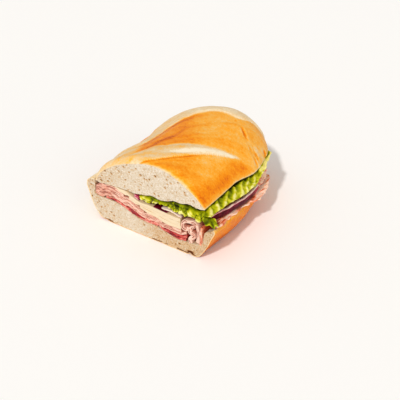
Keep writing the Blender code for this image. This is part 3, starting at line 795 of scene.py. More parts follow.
def roll_bottom():
    """The trough's outside, inside and cut face. Both walls bulge by a product of steps and bells
    of the place, and the outside is as browned as its height and its nearness to the cut say. Its
    darkening towards the base is partly browning and partly painted shade."""
    y = roll_rows()
    notch_x, notch_z = crease(y)
    notch, edge = (notch_x, notch_z - GAP), lip(y)
    outer = through(trough_outside(y, notch, edge), ROLL_COLUMNS)
    inner = through(trough_inside(y, notch, edge), ROLL_COLUMNS)
    x, z = section_x(outer[..., 0], y), outer[..., 2].copy()
    right = ease((y + 64.0) / 34.0) * ease((38.0 - y) / 40.0)
    right = right * ease((x - 34.0) / 8.0) * ease((edge[1] - z) / 9.0)
    left = ease((-34.0 - x) / 12.0) * bell((z - 12.0) / 11.0) * ease((-20.0 - y) / 30.0)
    outer[..., 0] += RIGHT_BULGE * right - LEFT_BULGE * left
    live = ease((HEEL_Y - y) / 1.5) * ease((z - 1.0) / 4.0)
    ripple = (0.35 * bumps(outer, 15.0, 51, 2) + 0.09 * bumps(outer, 2.6, 52, 2)) * live
    outer[:, 1:-1] = (outer + outwards(outer) * ripple[..., None])[:, 1:-1]
    for at, half, height in BASE_LIFTS:
        outer[..., 2] += height * bell((x - at) / half) * ease((6.0 - z) / 4.0) * ease((-52.0 - y) / 14.0)
    outer[..., 2] = np.maximum(outer[..., 2], 0.0)
    outer[0, :, 1] = CUT_Y
    base = ease((5.0 - z) / 4.0)
    # The outside darkens towards the base: partly the browner base crust, partly painted shade low on the
    # walls.
    bake = 0.76 + 0.17 * ease((20.0 - z) / 18.0) + 0.08 * base
    bake = bake - 0.62 * ease((-x - 20.0) / 20.0) * (1.0 - base) * ease((-24.0 - y) / 30.0)
    bake = bake - 0.35 * bell((z - edge[1]) / 2.2) * ease((x - 30.0) / 10.0)
    bake = bake + 0.08 * bumps(outer, 7.0, 53, 2) - 0.20 * bell((y - CUT_Y) / 0.6) * (1.0 - base)
    face, deep, crumb = cut_face(outer[0], inner[0], *LOW_CUT)
    share = np.linspace(0.0, 1.0, ROLL_COLUMNS)[None]
    inside = ease(share / 0.02) * ease((1.0 - share) / 0.03)
    across, up = face[..., 0], face[..., 2]
    # The dark band at the foot of the cut face is the base crust. Near -38 mm it stands taller, and at the
    # notch by 36.8 mm the face is filled dark: painted shade in the gaps where the base crust lifts.
    line = ease(2.5 * bumps(points(across, 0.0, 0.0), 7.0, 67)) * ease((45.0 - np.abs(across)) / 4.0)
    line = 0.1 + 0.9 * line + 0.6 * bell((across + 38.0) / 5.0)
    notch_shade = 1.3 * bell((across - 36.8) / 2.1) * ease((4.4 - up) / 1.8)
    deep = np.clip(deep + 1.1 * (1.0 - ease((up - line) / 0.6)) + notch_shade, 0.0, 1.0)
    masks = {"bake": (bake, 0.1, 0.2), "crumb": (0.0, inside, crumb), "pore": (0.0, 0.2, deep)}
    skin("trough_of_the_roll", [outer, inner, face], masks, bread, "bread", "roll_bottom")


roll_bottom()

# %% [markdown]
# ## Slices
# Meat and cheese are sliced thin and piled up, and the knife then cuts through the pile. A slice
# is two skins over the same grid, with rims that close it. The front rim is the part that shows:
# it is rounded, its edge wanders a little, and it has faint lines where the slice is layered.
# Slices could be dropped on each other as cloth, but then they don't fill the roll as they
# should. Here all slices of a pile come from shared surfaces between them, so they never cross.

# %% Edges of slices
EDGE_ROWS = 13


def ends_of(count, share=0.02):
    """0 at both ends of a row of points and 1 between, so that a rim's corners stay put."""
    u = np.linspace(0.0, 1.0, count)
    return ease(np.minimum(u, 1.0 - u) / share)


def sliced(under, over, bulge, torn, seed, lines=1.0):
    """The grids of a closed slice, and for each how deep its tone is: the skins deep, deeper on the
    underside and the further in from the cut they lie, which is painted shade, and the front rim
    shallow but for its lines, which come and go along it."""
    rims = rims_of(under, over, EDGE_ROWS)
    front = rims[0]
    t = np.linspace(0.0, 1.0, EDGE_ROWS)[:, None]
    hump = np.sin(np.pi * t) * ends_of(front.shape[1])
    drift = 0.25 * bumps(front, 9.0, seed + 3)
    layered = bell((t - 0.3 + drift) / 0.10) * ease(bumps(front, 5.0, seed + 4) * 3.0 + 0.3)
    layered = layered + bell((t - 0.72 + drift) / 0.10) * ease(bumps(front, 4.0, seed + 6) * 3.0 + 0.3)
    layered = lines * layered
    front[..., 1] -= hump * (bulge + torn * bumps(front, 1.6, seed + 5, 2) - 0.4 * layered)
    # The skins and hidden rims are painted deeper the further in from the cut they lie, and the underside
    # more than the top: painted shade.
    inside = ease((under[..., 1] - CUT_Y) / 4.0) * 0.4
    deep = [inside + 0.35, inside + 0.2, 0.07 + 1.4 * layered * hump, 0.5, 0.4, 0.4]
    return [under, over] + rims, deep


def wander(x, y, seed, reach=0.5):
    """How far a slice's cut edge lies behind the cut, fading a few mm inside."""
    return reach * (bumps(points(x, 0.0, 0.0), 7.0, seed, 2) + 0.8) * np.exp(-(y - CUT_Y) / 3.0)


def slice_rows(count, y_end):
    """Rows from the cut inwards, close together at the cut."""
    return towards(CUT_Y, y_end, np.linspace(0.0, 1.0, count)[:, None] ** 1.8)


print("rows of a slice, mm from the cut:", np.round(slice_rows(6, FILLING_END)[:, 0] - CUT_Y, 1))

# %% [markdown]
# ## Meat and cheese finishes
# Ham is pale pink and wet, paler along its fat and darker in its folds, where the darkening is
# painted shade. The cured meat is deep red with light flecks of fat. The cheese is cream, smooth
# and slightly waxy. Torn ham at the open side is warmer in tone, so it has a ramp of its own. Each
# is one ramp from bright to deep, driven by the depth mask and by noise drawn out along the
# slices, which a slice's grain needs.

# %% Meat and cheese finishes
HAM_TONES = (
    (0.0, 244, 216, 198),
    (0.3, 232, 188, 168),
    (0.55, 218, 152, 130),
    (0.8, 186, 96, 70),
    (1.0, 112, 44, 28),
)
CURED_TONES = (
    (0.0, 248, 205, 188),
    (0.25, 236, 158, 140),
    (0.5, 214, 96, 84),
    (0.75, 176, 40, 44),
    (1.0, 106, 10, 16),
)
TORN_HAM_TONES = (
    (0.0, 255, 212, 188),
    (0.3, 246, 156, 116),
    (0.55, 228, 108, 66),
    (0.8, 184, 58, 26),
    (1.0, 106, 24, 8),
)
CHEESE_TONES = (
    (0.0, 232, 216, 188),
    (0.5, 226, 200, 160),
    (1.0, 196, 152, 102),
)


def sliced_finish(name, tones, roughness, flecks, spread, bias):
    """Tones from bright to deep by the depth mask and two noises drawn out along the slices."""
    finish = Finish(name, roughness, 0.3)
    layers = finish.noise(flecks, 3.0, (2.6, 2.6, 0.6))
    deep = finish.sum(finish.mask("deep"), layers, spread, 0.5 - bias / spread)
    deep = finish.sum(deep, finish.noise(6.0, 2.0), 0.5 * spread)
    finish.colour(finish.ramp(deep, tones))
    finish.bump(layers, 0.2, 0.4)
    return finish.material


ham = sliced_finish("sliced_ham", HAM_TONES, 0.38, 1.3, 0.75, 0.22)
torn_ham = sliced_finish("torn_ham", TORN_HAM_TONES, 0.38, 1.3, 0.75, 0.2)
cured_meat = sliced_finish("cured_meat", CURED_TONES, 0.36, 0.9, 1.1, 0.42)
cheese = sliced_finish("sliced_cheese", CHEESE_TONES, 0.42, 2.5, 0.3, 0.12)
print("finishes so far:", len(bpy.data.materials) - len(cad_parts))

# %% [markdown]
# ## The two piles
# Between the floor of the roll and the top of the ham lie the cured meat and the flat ham, and
# above them the cheese. Slices of one thickness would leave gaps where the roll is wide, so every
# slice takes its share of the height wherever it reaches. The surfaces between slices wave, so
# that the dark lines between them open and close. The flat ham is darker towards its left end,
# and the cured meat is redder where it was bunched up.

# %% Piles
SLICE_END = 4.0
COLUMN_STEP = 0.45
PILE_ROWS = 22
# Slices from the lowest up, each with its left and right end
MEAT_PILE = (
    ("cured_meat_1", -39.0, 8.0),
    ("cured_meat_2", -17.0, 33.0),
    ("cured_meat_3", 12.0, 33.8),
    ("ham_slice_1", -49.0, 33.4),
    ("ham_slice_2", -48.6, 29.0),
    ("ham_slice_3", -49.0, 12.0),
    ("ham_slice_4", -48.2, -4.0),
    ("ham_slice_5", -45.0, -22.0),
)
CHEESE_PILE = (
    ("cheese_slice_1", -7.5, 28.8),
    ("cheese_slice_2", -17.0, 28.4),
    ("cheese_slice_3", -30.4, 28.2),
)
# For each kind: finish, how far the rim bulges, how torn it is and how strong its lines are
PILE_FINISH = {
    "cured_meat": (cured_meat, 0.45, 0.60, 1.0),
    "ham_slice": (ham, 0.30, 0.25, 1.0),
    "cheese_slice": (cheese, 0.05, 0.04, 0.0),
}
# Where the cured meat was bunched up: the middle and half the width
RED_SPOTS = ((-32.0, 4.5), (-13.0, 5.5), (22.5, 10.5))


def window(x, left, right):
    """How much of a pile's height a slice takes at x: its ends thin out past its span."""
    return ease((x - left) / SLICE_END + 1.0) * ease((right - x) / SLICE_END + 1.0)


def floor(x, y):
    """The upper side of the lower half, between its walls."""
    return curve(section_x(x, y), FLOOR)


def ham_top(x, y):
    """The top of the meat pile."""
    return curve(section_x(x, y), HAM_TOP)


def cheese_top(x, y):
    """The top of the cheese."""
    return curve(section_x(x, y), CHEESE_TOP)


def pile(slices, bottom, top, sway, opening, shut):
    """Slices that share the space between two surfaces. Each surface between two slices waves by
    sway, and opens by shut plus the opening's share of the smooth steps of its own bumps."""
    y = slice_rows(PILE_ROWS, FILLING_END)
    for k, (name, left, right) in enumerate(slices):
        kind = name.rsplit("_", 1)[0]
        material, bulge, torn, lines = PILE_FINISH[kind]
        sx = np.linspace(left, right, int((right - left) / COLUMN_STEP))[None]
        x = place(sx, y)
        shares = [window(sx, a, b) for _, a, b in slices]
        total = sum(shares)
        low, high = bottom(x, y) + GAP / 2, top(x, y)
        skins = []
        for level, inwards in ((k, 1.0), (k + 1, -1.0)):
            height = towards(low, high, sum(shares[:level], np.zeros_like(sx)) / total)
            at = points(x, 0.25 * y, 10.0 * level)
            inner = 0.0 if level in (0, len(slices)) else 1.0
            wave = sway * inner * (bumps(at, 6.0, 71) + 0.5 * bumps(at, 2.2, 72))
            room = shut + opening * ease(bumps(at, 5.0, 73) * 1.6 - 0.1)
            skins.append(height + wave + inwards * room)
        thin = np.maximum(skins[1] - skins[0], 0.35) - (skins[1] - skins[0])
        yy = y + wander(sx, y, 74 + k, 0.45)
        grids, deep = sliced(points(x, yy, skins[0] - thin / 2), points(x, yy, skins[1] + thin / 2),
                             bulge, torn, 80 + 7 * k, lines)
        if kind == "ham_slice":
            deep[2] = deep[2] + 0.16 * ease((-26.0 - sx) / 10.0)
        if kind == "cured_meat":
            bunched = sum(bell((sx - at) / half) for at, half in RED_SPOTS)
            deep = [value + 0.50 * bunched - 0.24 for value in deep[:4]] + deep[4:]
        skin(name + "_cut", grids, {"deep": deep}, material, kind.replace("_slice", ""), name)


pile(MEAT_PILE, floor, ham_top, 0.30, 0.30, 0.09)
pile(CHEESE_PILE, ham_top, cheese_top, 0.10, 0.03, 0.01)

# %% [markdown]
# ## Folded ham
# At the right of the cut the ham was folded over on itself. Cut across, a fold is a line that
# doubles back: here an arch with a curled end, a zigzag inside it and a slice that stands beside
# it. A cloth that is folded by physics lands where it likes, so each is a ribbon that follows a
# path in the section and is carried along the roll.

# %% Folded ham
# Each fold: its path through the section, half its thickness and how far in it ends
FOLDED_HAM = {
    "ham_slice_6": (
        ((34.4, 23.0), (33.8, 20.8), (31.0, 20.6), (30.0, 23.8), (32.2, 27.2), (36.4, 28.6),
         (40.6, 27.8), (42.8, 24.2), (43.0, 12.4)),
        1.25, 24.0,
    ),
    "ham_slice_7": (
        ((37.4, 10.6), (36.0, 13.6), (39.4, 16.8), (36.2, 19.6), (37.6, 23.6), (40.0, 24.2)),
        1.55, 20.0,
    ),
    "ham_slice_8": (
        ((44.9, 12.0), (45.5, 18.0), (46.0, 22.5), (46.2, 27.0)),
        0.85, 20.0,
    ),
}


def ribbon(name, path, half, y_end, seed):
    """A ribbon along a path: its two skins lie half a thickness to each side of a smooth line
    through the path's stations, which sways as it goes inwards."""
    y = slice_rows(PILE_ROWS, y_end)
    line = through(np.array(path)[None], 70)[0]
    way = unit(np.gradient(line, axis=0))
    sway = 0.4 * np.sin((y - CUT_Y) / 9.0)
    rough = 0.55 * bumps(points(line[:, 0], 0.2 * y, line[:, 1]), 4.5, seed, 2)
    sides = []
    for side in (-1.0, 1.0):
        thick = side * half * (0.9 + 0.35 * bumps(points(line[:, 0], 0.0, line[:, 1]), 3.5, seed + 1))
        x = place(line[:, 0] - (thick + rough) * way[:, 1] + sway, y)
        z = line[:, 1] + (thick + rough) * way[:, 0]
        sides.append(points(x, y + wander(line[None, :, 0] + line[None, :, 1], y, seed + 2), z))
    grids, deep = sliced(sides[0], sides[1], 0.35, 0.25, seed + 3)
    deep[:3] = deep[0] - 0.3, deep[1] - 0.2, deep[2] - 0.1
    finish = torn_ham if name == "ham_slice_8" else ham
    skin(name + "_fold", grids, {"deep": deep}, finish, "ham", name)


for number, (name, fold) in enumerate(FOLDED_HAM.items()):
    ribbon(name, *fold, 200 + 20 * number)

# %% [markdown]
# ## Ham over the lip
# Along the open side a slice of ham hangs out over the crust, and a second one lies above it
# towards the heel. Their edges are torn. An edge could be drawn point by point, but bumps of
# several sizes give a torn line at once, and each slice ripples more the further out it is.
# Streaks of paler fat run along it, and it is redder near the cut.

# %% Ham over the lip
# The fringe is the ham over the lip: its height over the lip, where its grid starts, and the place
# in the section from which it slopes down
FRINGE = 1.3
FRINGE_LEFT = 45.5
FRINGE_INSIDE = (45.0, 29.2)
FRINGE_SPAN = (-66.5, 21.0)
FRINGE_EDGE = (57.4, 61.9)
FLAP_SPAN = (-3.0, 24.0)
FLAP_EDGE = (49.5, 58.5)


def fringe_height(x, y):
    """The underside of the ham that hangs out over the lip."""
    start, z = FRINGE_INSIDE
    return towards(z, lip(y)[1] + GAP, ease((x - place(start, y)) / 8.0))


def loose_ham(name, y, sx, low, ripple, seed, node):
    """A slice over a grid, rippling towards its outer edge, with a rounded torn rim."""
    x = place(sx, y)
    out = np.linspace(0.0, 1.0, sx.shape[1])[None]
    at = points(x, y, 0.0)
    wave = ripple * out * (bumps(at, 5.0, seed, 2) + 0.6) - 0.9 * out ** 3
    thick = 0.9 + 0.25 * bumps(at, 3.0, seed + 1)
    under = points(x, y, low + np.maximum(wave, -0.4 * out))
    over = under + np.array([0.0, 0.0, 1.0]) * thick[..., None]
    grids, deep = sliced(under, over, 0.2, 0.2, seed + 2)
    fat = 0.60 * bumps(points(2.4 * x, 0.5 * y, 0.0), 3.5, seed + 3, 2) - 0.20
    fat = fat + 0.40 * ease((-46.0 - y) / 10.0)
    # The underside is painted deeper than the top: painted shade.
    deep[0], deep[1] = 0.4, fat
    deep[5] = fat[:, -1][None]
    skin(name, grids, {"deep": deep}, torn_ham, "ham", node)


def hams_outside():
    """The long torn edge over the lip and the flap behind it."""
    y = np.linspace(*FRINGE_SPAN, 170)[:, None]
    edge = towards(*FRINGE_EDGE, ease((y + 24.0) / 12.0))
    edge = edge + 1.5 * bumps(points(0.0, y, 0.0), 6.0, 91, 3)
    sx = towards(FRINGE_LEFT, edge, np.linspace(0.0, 1.0, 34)[None])
    loose_ham("ham_over_lip", y, sx, fringe_height(place(sx, y), y), 0.8, 92, "ham_slice_9")
    y = np.linspace(*FLAP_SPAN, 60)[:, None]
    edge = FLAP_EDGE[1] + 1.3 * bumps(points(0.0, y, 0.0), 5.0, 96, 2)
    sx = towards(FLAP_EDGE[0], edge, np.linspace(0.0, 1.0, 24)[None])
    slope = 31.0 - 0.5 * (sx - FLAP_EDGE[0])
    low = np.maximum(fringe_height(place(sx, y), y) + FRINGE + GAP, slope)
    loose_ham("ham_flap", y, sx, low, 0.8, 97, "ham_slice_10")


hams_outside()

# %% [markdown]
# ## Thin sheets
# A leaf is easiest to lay out as one grid through its middle. Blender's Solidify modifier gives
# such a grid one thickness, and a leaf's edge is thinner. So its two skins are placed here, half
# its thickness to each side, square to the grid, and they draw together towards its edges.

# %% Thin sheets
def sheet(name, middle, half, masks, material, slot, *nodes):
    """A closed sheet: for every point of the middle grid, one to each side along its normal."""
    rows, columns = middle.shape[:2]
    full = ends_of(rows, 3.0 / rows)[:, None] * ends_of(columns, 3.0 / columns)[None]
    shift = outwards(middle) * (half * (0.3 + 0.7 * full))[..., None]
    over, under = middle + shift, middle - shift
    spread = {key: [v, v, v[0], v[-1], v[:, 0], v[:, -1]] for key, v in masks.items()}
    skin(name, [under, over] + rims_of(under, over, 3), spread, material, slot, *nodes)


print("a sheet's thickness from its edge inwards:", np.round(0.3 + 0.7 * ends_of(12, 3.0 / 12), 2))

# %% [markdown]
# ## Onion and lettuce finishes
# Red onion is white to lilac flesh under a thin purple skin, so one mask runs from flesh to skin.
# Lettuce is dark green in its folds, which is painted shade, yellow green where light falls on it,
# which is painted light, and almost white along its ribs. Both are a ramp over one mask with
# patches of noise, so one function makes them. The leaf's blisters are real geometry, as they show
# in its outline, and only the finest are a bump.

# %% Onion and lettuce finishes
ONION_TONES = (
    (0.0, 246, 232, 210),
    (0.3, 234, 204, 194),
    (0.5, 216, 134, 146),
    (0.66, 188, 62, 92),
    (0.82, 132, 18, 50),
    (1.0, 78, 0, 20),
)
LETTUCE_TONES = (
    (0.0, 30, 32, 0),
    (0.22, 78, 84, 0),
    (0.45, 132, 142, 2),
    (0.65, 178, 178, 8),
    (0.82, 212, 206, 52),
    (1.0, 236, 230, 140),
)


def mask_finish(name, mask, tones, roughness, patches, relief):
    """Tones by one mask, with patches of two sizes, and a fine relief."""
    finish = Finish(name, roughness, 0.05)
    value = finish.sum(finish.mask(mask), finish.noise(2.0, 3.0), patches)
    value = finish.sum(value, finish.noise(8.0, 2.0), patches)
    finish.colour(finish.ramp(value, tones))
    finish.bump(finish.noise(1.0, 3.0), relief, 0.6)
    return finish.material


onion = mask_finish("red_onion", "peel", ONION_TONES, 0.3, 0.18, 0.1)
lettuce = mask_finish("lettuce_leaf", "light", LETTUCE_TONES, 0.4, 0.3, 0.25)
print("finishes:", onion.name, lettuce.name)

# %% [markdown]
# ## Onion
# A slice of onion is a few rings. In the cut they show as pale flat strips with purple skin
# along one side. One ring stands on its edge along the open side: pale on top, where the knife
# cut it, and purple down its side. A torus would be round all over and closed. This one is a loop
# of points, squarish like a cut ring, that is carried along a slight bend.

# %% Onion
# The wedge: its left and right end, and how far in it ends
ONION_WEDGE = (-12.2, -8.4, -44.0)
# Each flat slice: left and right end, how far in it ends, thickness, lift, peel, and how far its
# edge lies behind the cut
ONION_FLAT = {
    # The second slice's cut edge is its purple skin, painted almost as dark as the shaded gap under the
    # lettuce where it lies; that darkness is painted shade.
    "onion_slice_2": (5.0, 16.6, -18.0, 1.6, 0.0, 0.95, 0.2),
    "onion_slice_3": (11.2, 28.6, -18.0, 1.2, 1.1, 0.0, 1.3),
}
# Where the lift of the flat slices starts on the right, and over what length it grows
ONION_LIFT = (28.0, 9.0)
RING_SPAN = (-64.4, -3.0)
RING_X = 54.2
# The ring's bend: where its middle lies, its half length and its depth
RING_BEND = (-30.0, 33.0, 3.6)
RING_HALF = 1.1
RING_TOP = ((-64.0, -38.0, -23.0, -3.0), (36.2, 33.6, 31.7, 31.0))


def onion_piece(name, x, y, low, high, peel, seed, reach=0.4):
    """A slice of onion between two heights. Its front rim is flesh with two darker lines and
    wanders behind the cut by reach. Its skins are as purple as asked."""
    yy = y + wander(x, y, seed, reach)
    grids, _ = sliced(points(x, yy, low), points(x, yy, high), 0.3, 0.2, seed)
    t = np.linspace(0.0, 1.0, EDGE_ROWS)[:, None]
    line = 0.5 * bell((t - 0.95) / 0.12) + 0.25 * bell((t - 0.4) / 0.12)
    front = peel + line + 0.25 * bumps(grids[2], 2.5, seed + 1, 2)
    masks = {"peel": (peel + 0.3, peel + 0.25, front, 0.6, 0.6, 0.6)}
    skin(name + "_cut", grids, masks, onion, "red_onion", name)


def onions():
    """The wedge, whose top is a parabola under the crown, and the two flat slices."""
    left, right, y_end = ONION_WEDGE
    y, x = slice_rows(14, y_end), np.linspace(left, right, 14)[None]
    high = ceiling(x, y) - GAP - 1.2 * ((x - left - 1.2) / 2.4) ** 2
    onion_piece("onion_slice_1", x, y, cheese_top(x, y) + GAP, high, 0.54, 301)
    end, length = ONION_LIFT
    for name, (left, right, y_end, thickness, lift, peel, reach) in ONION_FLAT.items():
        y, x = slice_rows(18, y_end), np.linspace(left, right, int((right - left) / 0.4))[None]
        low = cheese_top(x, y) + GAP + lift * ease((end - x) / length)
        low = low + 0.25 * bumps(points(x, y, 0.0), 4.0, 303)
        edge = np.minimum(ease((x - left) / 1.5), ease((right - x) / 1.5))
        onion_piece(name, x, y, low, low + thickness * (0.45 + 0.55 * edge), peel, 305, reach)


def onion_ring():
    """A thick band bent along the open side: a rounded section, drawn as a closed loop of points,
    is carried along it and shrinks to nothing at both ends."""
    y = np.linspace(*RING_SPAN, 150)[:, None]
    middle, length, depth = RING_BEND
    turn = np.linspace(0.0, 2.0 * np.pi, 41)[None]
    c, s = np.cos(turn), np.sin(turn)
    way = 2.0 * (y - RING_SPAN[0]) / (RING_SPAN[1] - RING_SPAN[0]) - 1.0
    swell = np.sqrt(np.clip(1.0 - way ** 14, 0.0, 1.0))
    x = RING_X - depth * ((y - middle) / length) ** 2 + 0.3 * bumps(points(0.0, y, 0.0), 9.0, 321)
    low = fringe_height(x, y) + FRINGE + GAP
    high = curve(y, RING_TOP) + 0.4 * bumps(points(0.0, y, 0.0), 6.0, 322)
    half = 0.5 * (high - low) * swell
    groove = 0.16 * bell((np.abs(turn - np.pi / 2.0) - 0.25) / 0.12)
    x = x + RING_HALF * swell * np.sign(c) * np.abs(c) ** 0.6
    z = 0.5 * (low + high) + half * np.sign(s) * np.abs(s) ** 0.5 - groove * swell
    peel = 0.98 - 0.66 * ease((s - 0.35) / 0.3) + 0.4 * groove - 0.35 * ease((y + 16.0) / 10.0)
    peel = peel + 0.15 * bumps(points(x, 0.3 * y, z), 2.0, 323, 2)
    loop = points(x, y, z)
    loop[:, -1] = loop[:, 0]
    skin("onion_ring", [loop], {"peel": [peel]}, onion, "red_onion", "onion_slice_4")


onions()
onion_ring()

# %% [markdown]
# ## Lettuce
# Each leaf lies flat between onion and bread, and comes out at the open side, where it slopes
# down. Its veins run out slantwise as pale ridges, with blistered green between them. At the cut
# the leaves were torn and pressed, so their front edges hang down as frills, one before another.
# A crumpled cloth would fold anywhere, so ribs and folds are waves whose phase drifts a little:
# they keep their spacing and still look grown.

# %% Lettuce leaves
LEAF_OUT = 46.0
LEAF_HALF = 0.35
LEAF_ROWS = 150
FRILL_ROWS = 22
RIB_SPACING = 9.5
RIB_SLANT = 1.5
FRILL_TURN = 1.0
LEAF_STEP = 0.5
FRILL_HEM = (
    (-7.5, -3.4, 1.7, 6.2, 10.0, 15.1, 20.7, 26.7, 30.5, 33.7, 40.1, 44.8, 48.0),
    (32.0, 30.3, 29.6, 31.6, 32.8, 32.0, 30.8, 30.0, 30.8, 31.0, 30.0, 29.8, 29.4),
)
FRILL_TINT = (
    (-7.5, -3.0, 2.0, 6.0, 12.0, 17.0, 20.5, 27.0, 31.0, 34.5, 38.0, 43.0, 48.0),
    (0.72, 0.70, 0.56, 0.38, 0.50, 0.42, 0.26, 0.30, 0.54, 0.22, 0.50, 0.62, 0.52),
)
FRILL_RIBS = (
    ((30.0, 35.0), (45.0, 31.0)),
    ((8.0, 33.6), (30.0, 33.0)),
    ((22.0, 41.5), (27.0, 33.5)),
    ((-6.0, 35.0), (8.0, 33.0)),
)
# Each leaf: its left end, how far in it ends, the share of the room where it lies and waves, its
# outer edge and the height of that edge along the roll, and its frill: how much of the way to the
# hem it hangs, how far it lies behind the cut and how much lighter it is
LEAVES = {
    "lettuce_leaf_1": (
        -7.0, 31.0, (0.78, 0.10),
        ((-70.5, -10.0, 1.0, 11.0, 22.0, 28.0, 31.0), (54.2, 54.2, 52.8, 50.6, 47.6, 45.0, 41.0)),
        ((-70.5, -62.0, -42.0, -20.0, -10.0, 1.0, 11.0, 31.0),
         (39.5, 39.2, 37.6, 34.2, 34.4, 37.0, 40.0, 40.2)),
        (0.62, -1.1, 0.0),
    ),
    "lettuce_leaf_3": (
        21.0, 10.0, (0.50, 0.08),
        ((-70.5, -40.0, 10.0), (46.4, 47.0, 42.0)),
        ((-70.5, 31.0), (36.0, 36.0)),
        (0.8, 0.0, 0.06),
    ),
    "lettuce_leaf_2": (
        -7.2, 30.0, (0.26, 0.06),
        ((-70.5, -40.0, 30.0), (47.6, 48.4, 40.0)),
        ((-70.5, 31.0), (33.0, 33.0)),
        (1.0, 0.9, 0.12),
    ),
}


def lettuce_room(x, y):
    """The lowest height for lettuce and the room above it."""
    low = curve(section_x(x, y), LETTUCE_BOTTOM)
    return low, ceiling(np.minimum(x, tip(y)[0] - 0.5), y) - low


def frill_folds(x, z, seed):
    """The folds of a torn edge, about -1 to 1: a wave whose phase drifts, one askew to it, and
    smaller bumps."""
    at = points(x, 0.0, 0.8 * z)
    wave = np.sin(2.0 * np.pi * (x / 5.2 + 0.10 * z + 1.3 * bumps(at, 7.0, seed)))
    askew = np.sin(2.0 * np.pi * ((z + 0.3 * x) / 3.6 + 0.8 * bumps(at, 6.0, seed + 7)))
    return 0.40 * wave + 0.30 * askew + 0.6 * bumps(at, 2.4, seed + 1, 2)


def ribbed(x, y, out, seed):
    """How far ribs and blisters stand out of the open side, and how light the leaf is there. It is
    darker where it comes out from under the crown and lighter towards its hem, partly the leaf's own
    olive and partly painted shadow of the crown.
    """
    turn = (y + RIB_SLANT * (x - LEAF_OUT)) / RIB_SPACING + 0.5 * bumps(points(x, y, 0.0), 9.0, seed)
    rib = bell(np.sin(np.pi * turn) / 0.5)
    blister = bumps(points(x, y, 0.0), 2.4, seed + 1, 2)
    lift = (1.2 * rib + 0.30 * blister - 0.45) * ease(out / 0.15)
    # Darker just outside the crown's edge: partly the leaf's olive tone, partly painted shadow of the
    # crown.
    light = 0.40 + 0.30 * out + 0.32 * rib + 0.22 * blister - 0.28 * bell(out / 0.3)
    return lift, light + 0.60 * ease((y + 2.0) / 16.0)


def frilled(x, y, z, down, out, reach, tint, seed):
    """The torn edge at the cut: it turns down over a small radius and hangs in folds that grow
    downwards. Gives its y and z, and how light it is: darker where the folds fall back and lighter
    where they stand forward, as painted shade and painted highlight, and paler on its ribs."""
    uneven = 0.75 + 0.35 * bumps(points(x, 0.0, 0.0), 3.4, seed + 2, 2)
    hang = np.clip(reach * (z - curve(x, FRILL_HEM)), 0.5, 8.0) * uneven
    ends = 0.25 + 0.75 * ends_of(x.shape[1], 0.05)[None]
    path = down * np.maximum(hang, 0.4) * ends * (1.0 - 0.75 * ease(out / 0.4))
    angle = np.minimum(path / FRILL_TURN, np.pi / 2.0)
    folds = frill_folds(x, z - path, seed + 3)
    grown = ease(path / 2.2)
    y = y - FRILL_TURN * np.sin(angle) + (1.25 * folds - 0.2) * grown
    z = z - FRILL_TURN * (1.0 - np.cos(angle)) - np.maximum(path - FRILL_TURN * np.pi / 2.0, 0.0)
    # The frill is painted darker where its folds fall back and lighter where they stand forward: painted
    # shade and painted highlight.
    light = tint + curve(x, FRILL_TINT) - 0.06 + 0.14 * down - 0.50 * folds * grown
    for rib in FRILL_RIBS:
        light = light + 0.35 * bell(line_distance(x, z, rib) / 0.6)
    return y, z, light


def leaf(name, left, y_end, level, edge, hem, frill, seed):
    """A leaf's middle grid: rows inside the roll, then rows that turn down at the cut."""
    reach, setback, tint = frill
    stop = CUT_Y + FRILL_TURN + setback
    y = np.concatenate([np.linspace(y_end, stop, LEAF_ROWS), np.full(FRILL_ROWS, stop)])[:, None]
    down = np.concatenate([np.zeros(LEAF_ROWS), np.linspace(0.0, 1.0, FRILL_ROWS + 1)[1:]])[:, None]
    far = curve(y, edge) + 0.5 * bumps(points(0.0, y, 0.0), 4.0, seed + 5, 2)
    x = towards(left, far, np.linspace(0.0, 1.0, int((far.max() - left) / LEAF_STEP))[None])
    low, room = lettuce_room(x, y)
    wave = 0.6 * np.sin(x / 3.6 + 1.3 * np.sin(y / 11.0)) + 0.4 * np.sin(y / 5.0 + x / 9.0)
    z = low + room * (level[0] + level[1] * wave)
    out = np.clip((x - LEAF_OUT) / np.maximum(far - LEAF_OUT, 1.0), 0.0, 1.0)
    z = towards(z, curve(y, hem), out ** 1.4)
    z = z - 3.0 * droop(y) * ease((x - tip(y)[0] + 9.0) / 6.0) * ease((far - x) / 3.0)
    lift, light = ribbed(x, y, out, seed)
    x, z = x + 0.5 * lift, z + 0.8 * lift
    at_cut = ease((y - stop - 3.0) / -3.0) * (1.0 - ease(out / 0.15))
    y, z, torn = frilled(x, y, z, down, out, reach, tint, seed)
    masks = {"light": towards(light, torn, at_cut)}
    sheet(name + "_frilled", points(x, y, z), LEAF_HALF, masks, lettuce, "lettuce", name)


for number, (name, form) in enumerate(LEAVES.items()):
    leaf(name, *form, 400 + 20 * number)

# %% [markdown]
# ## Torn leaf at the corner
# The end of one leaf folds down over the front corner. A square grid would give it corners, so
# the lobe is a grid of spokes and rings, rounded in outline, cupped, and crumpled by folds that
# grow towards its rim.

# %% Corner leaf
# The lobe's middle, and its reach across and along the roll
LOBE = (52.6, -69.6, 36.4)
LOBE_REACH = (6.0, 3.4)
LOBE_RINGS = 40
LOBE_SPOKES = 121


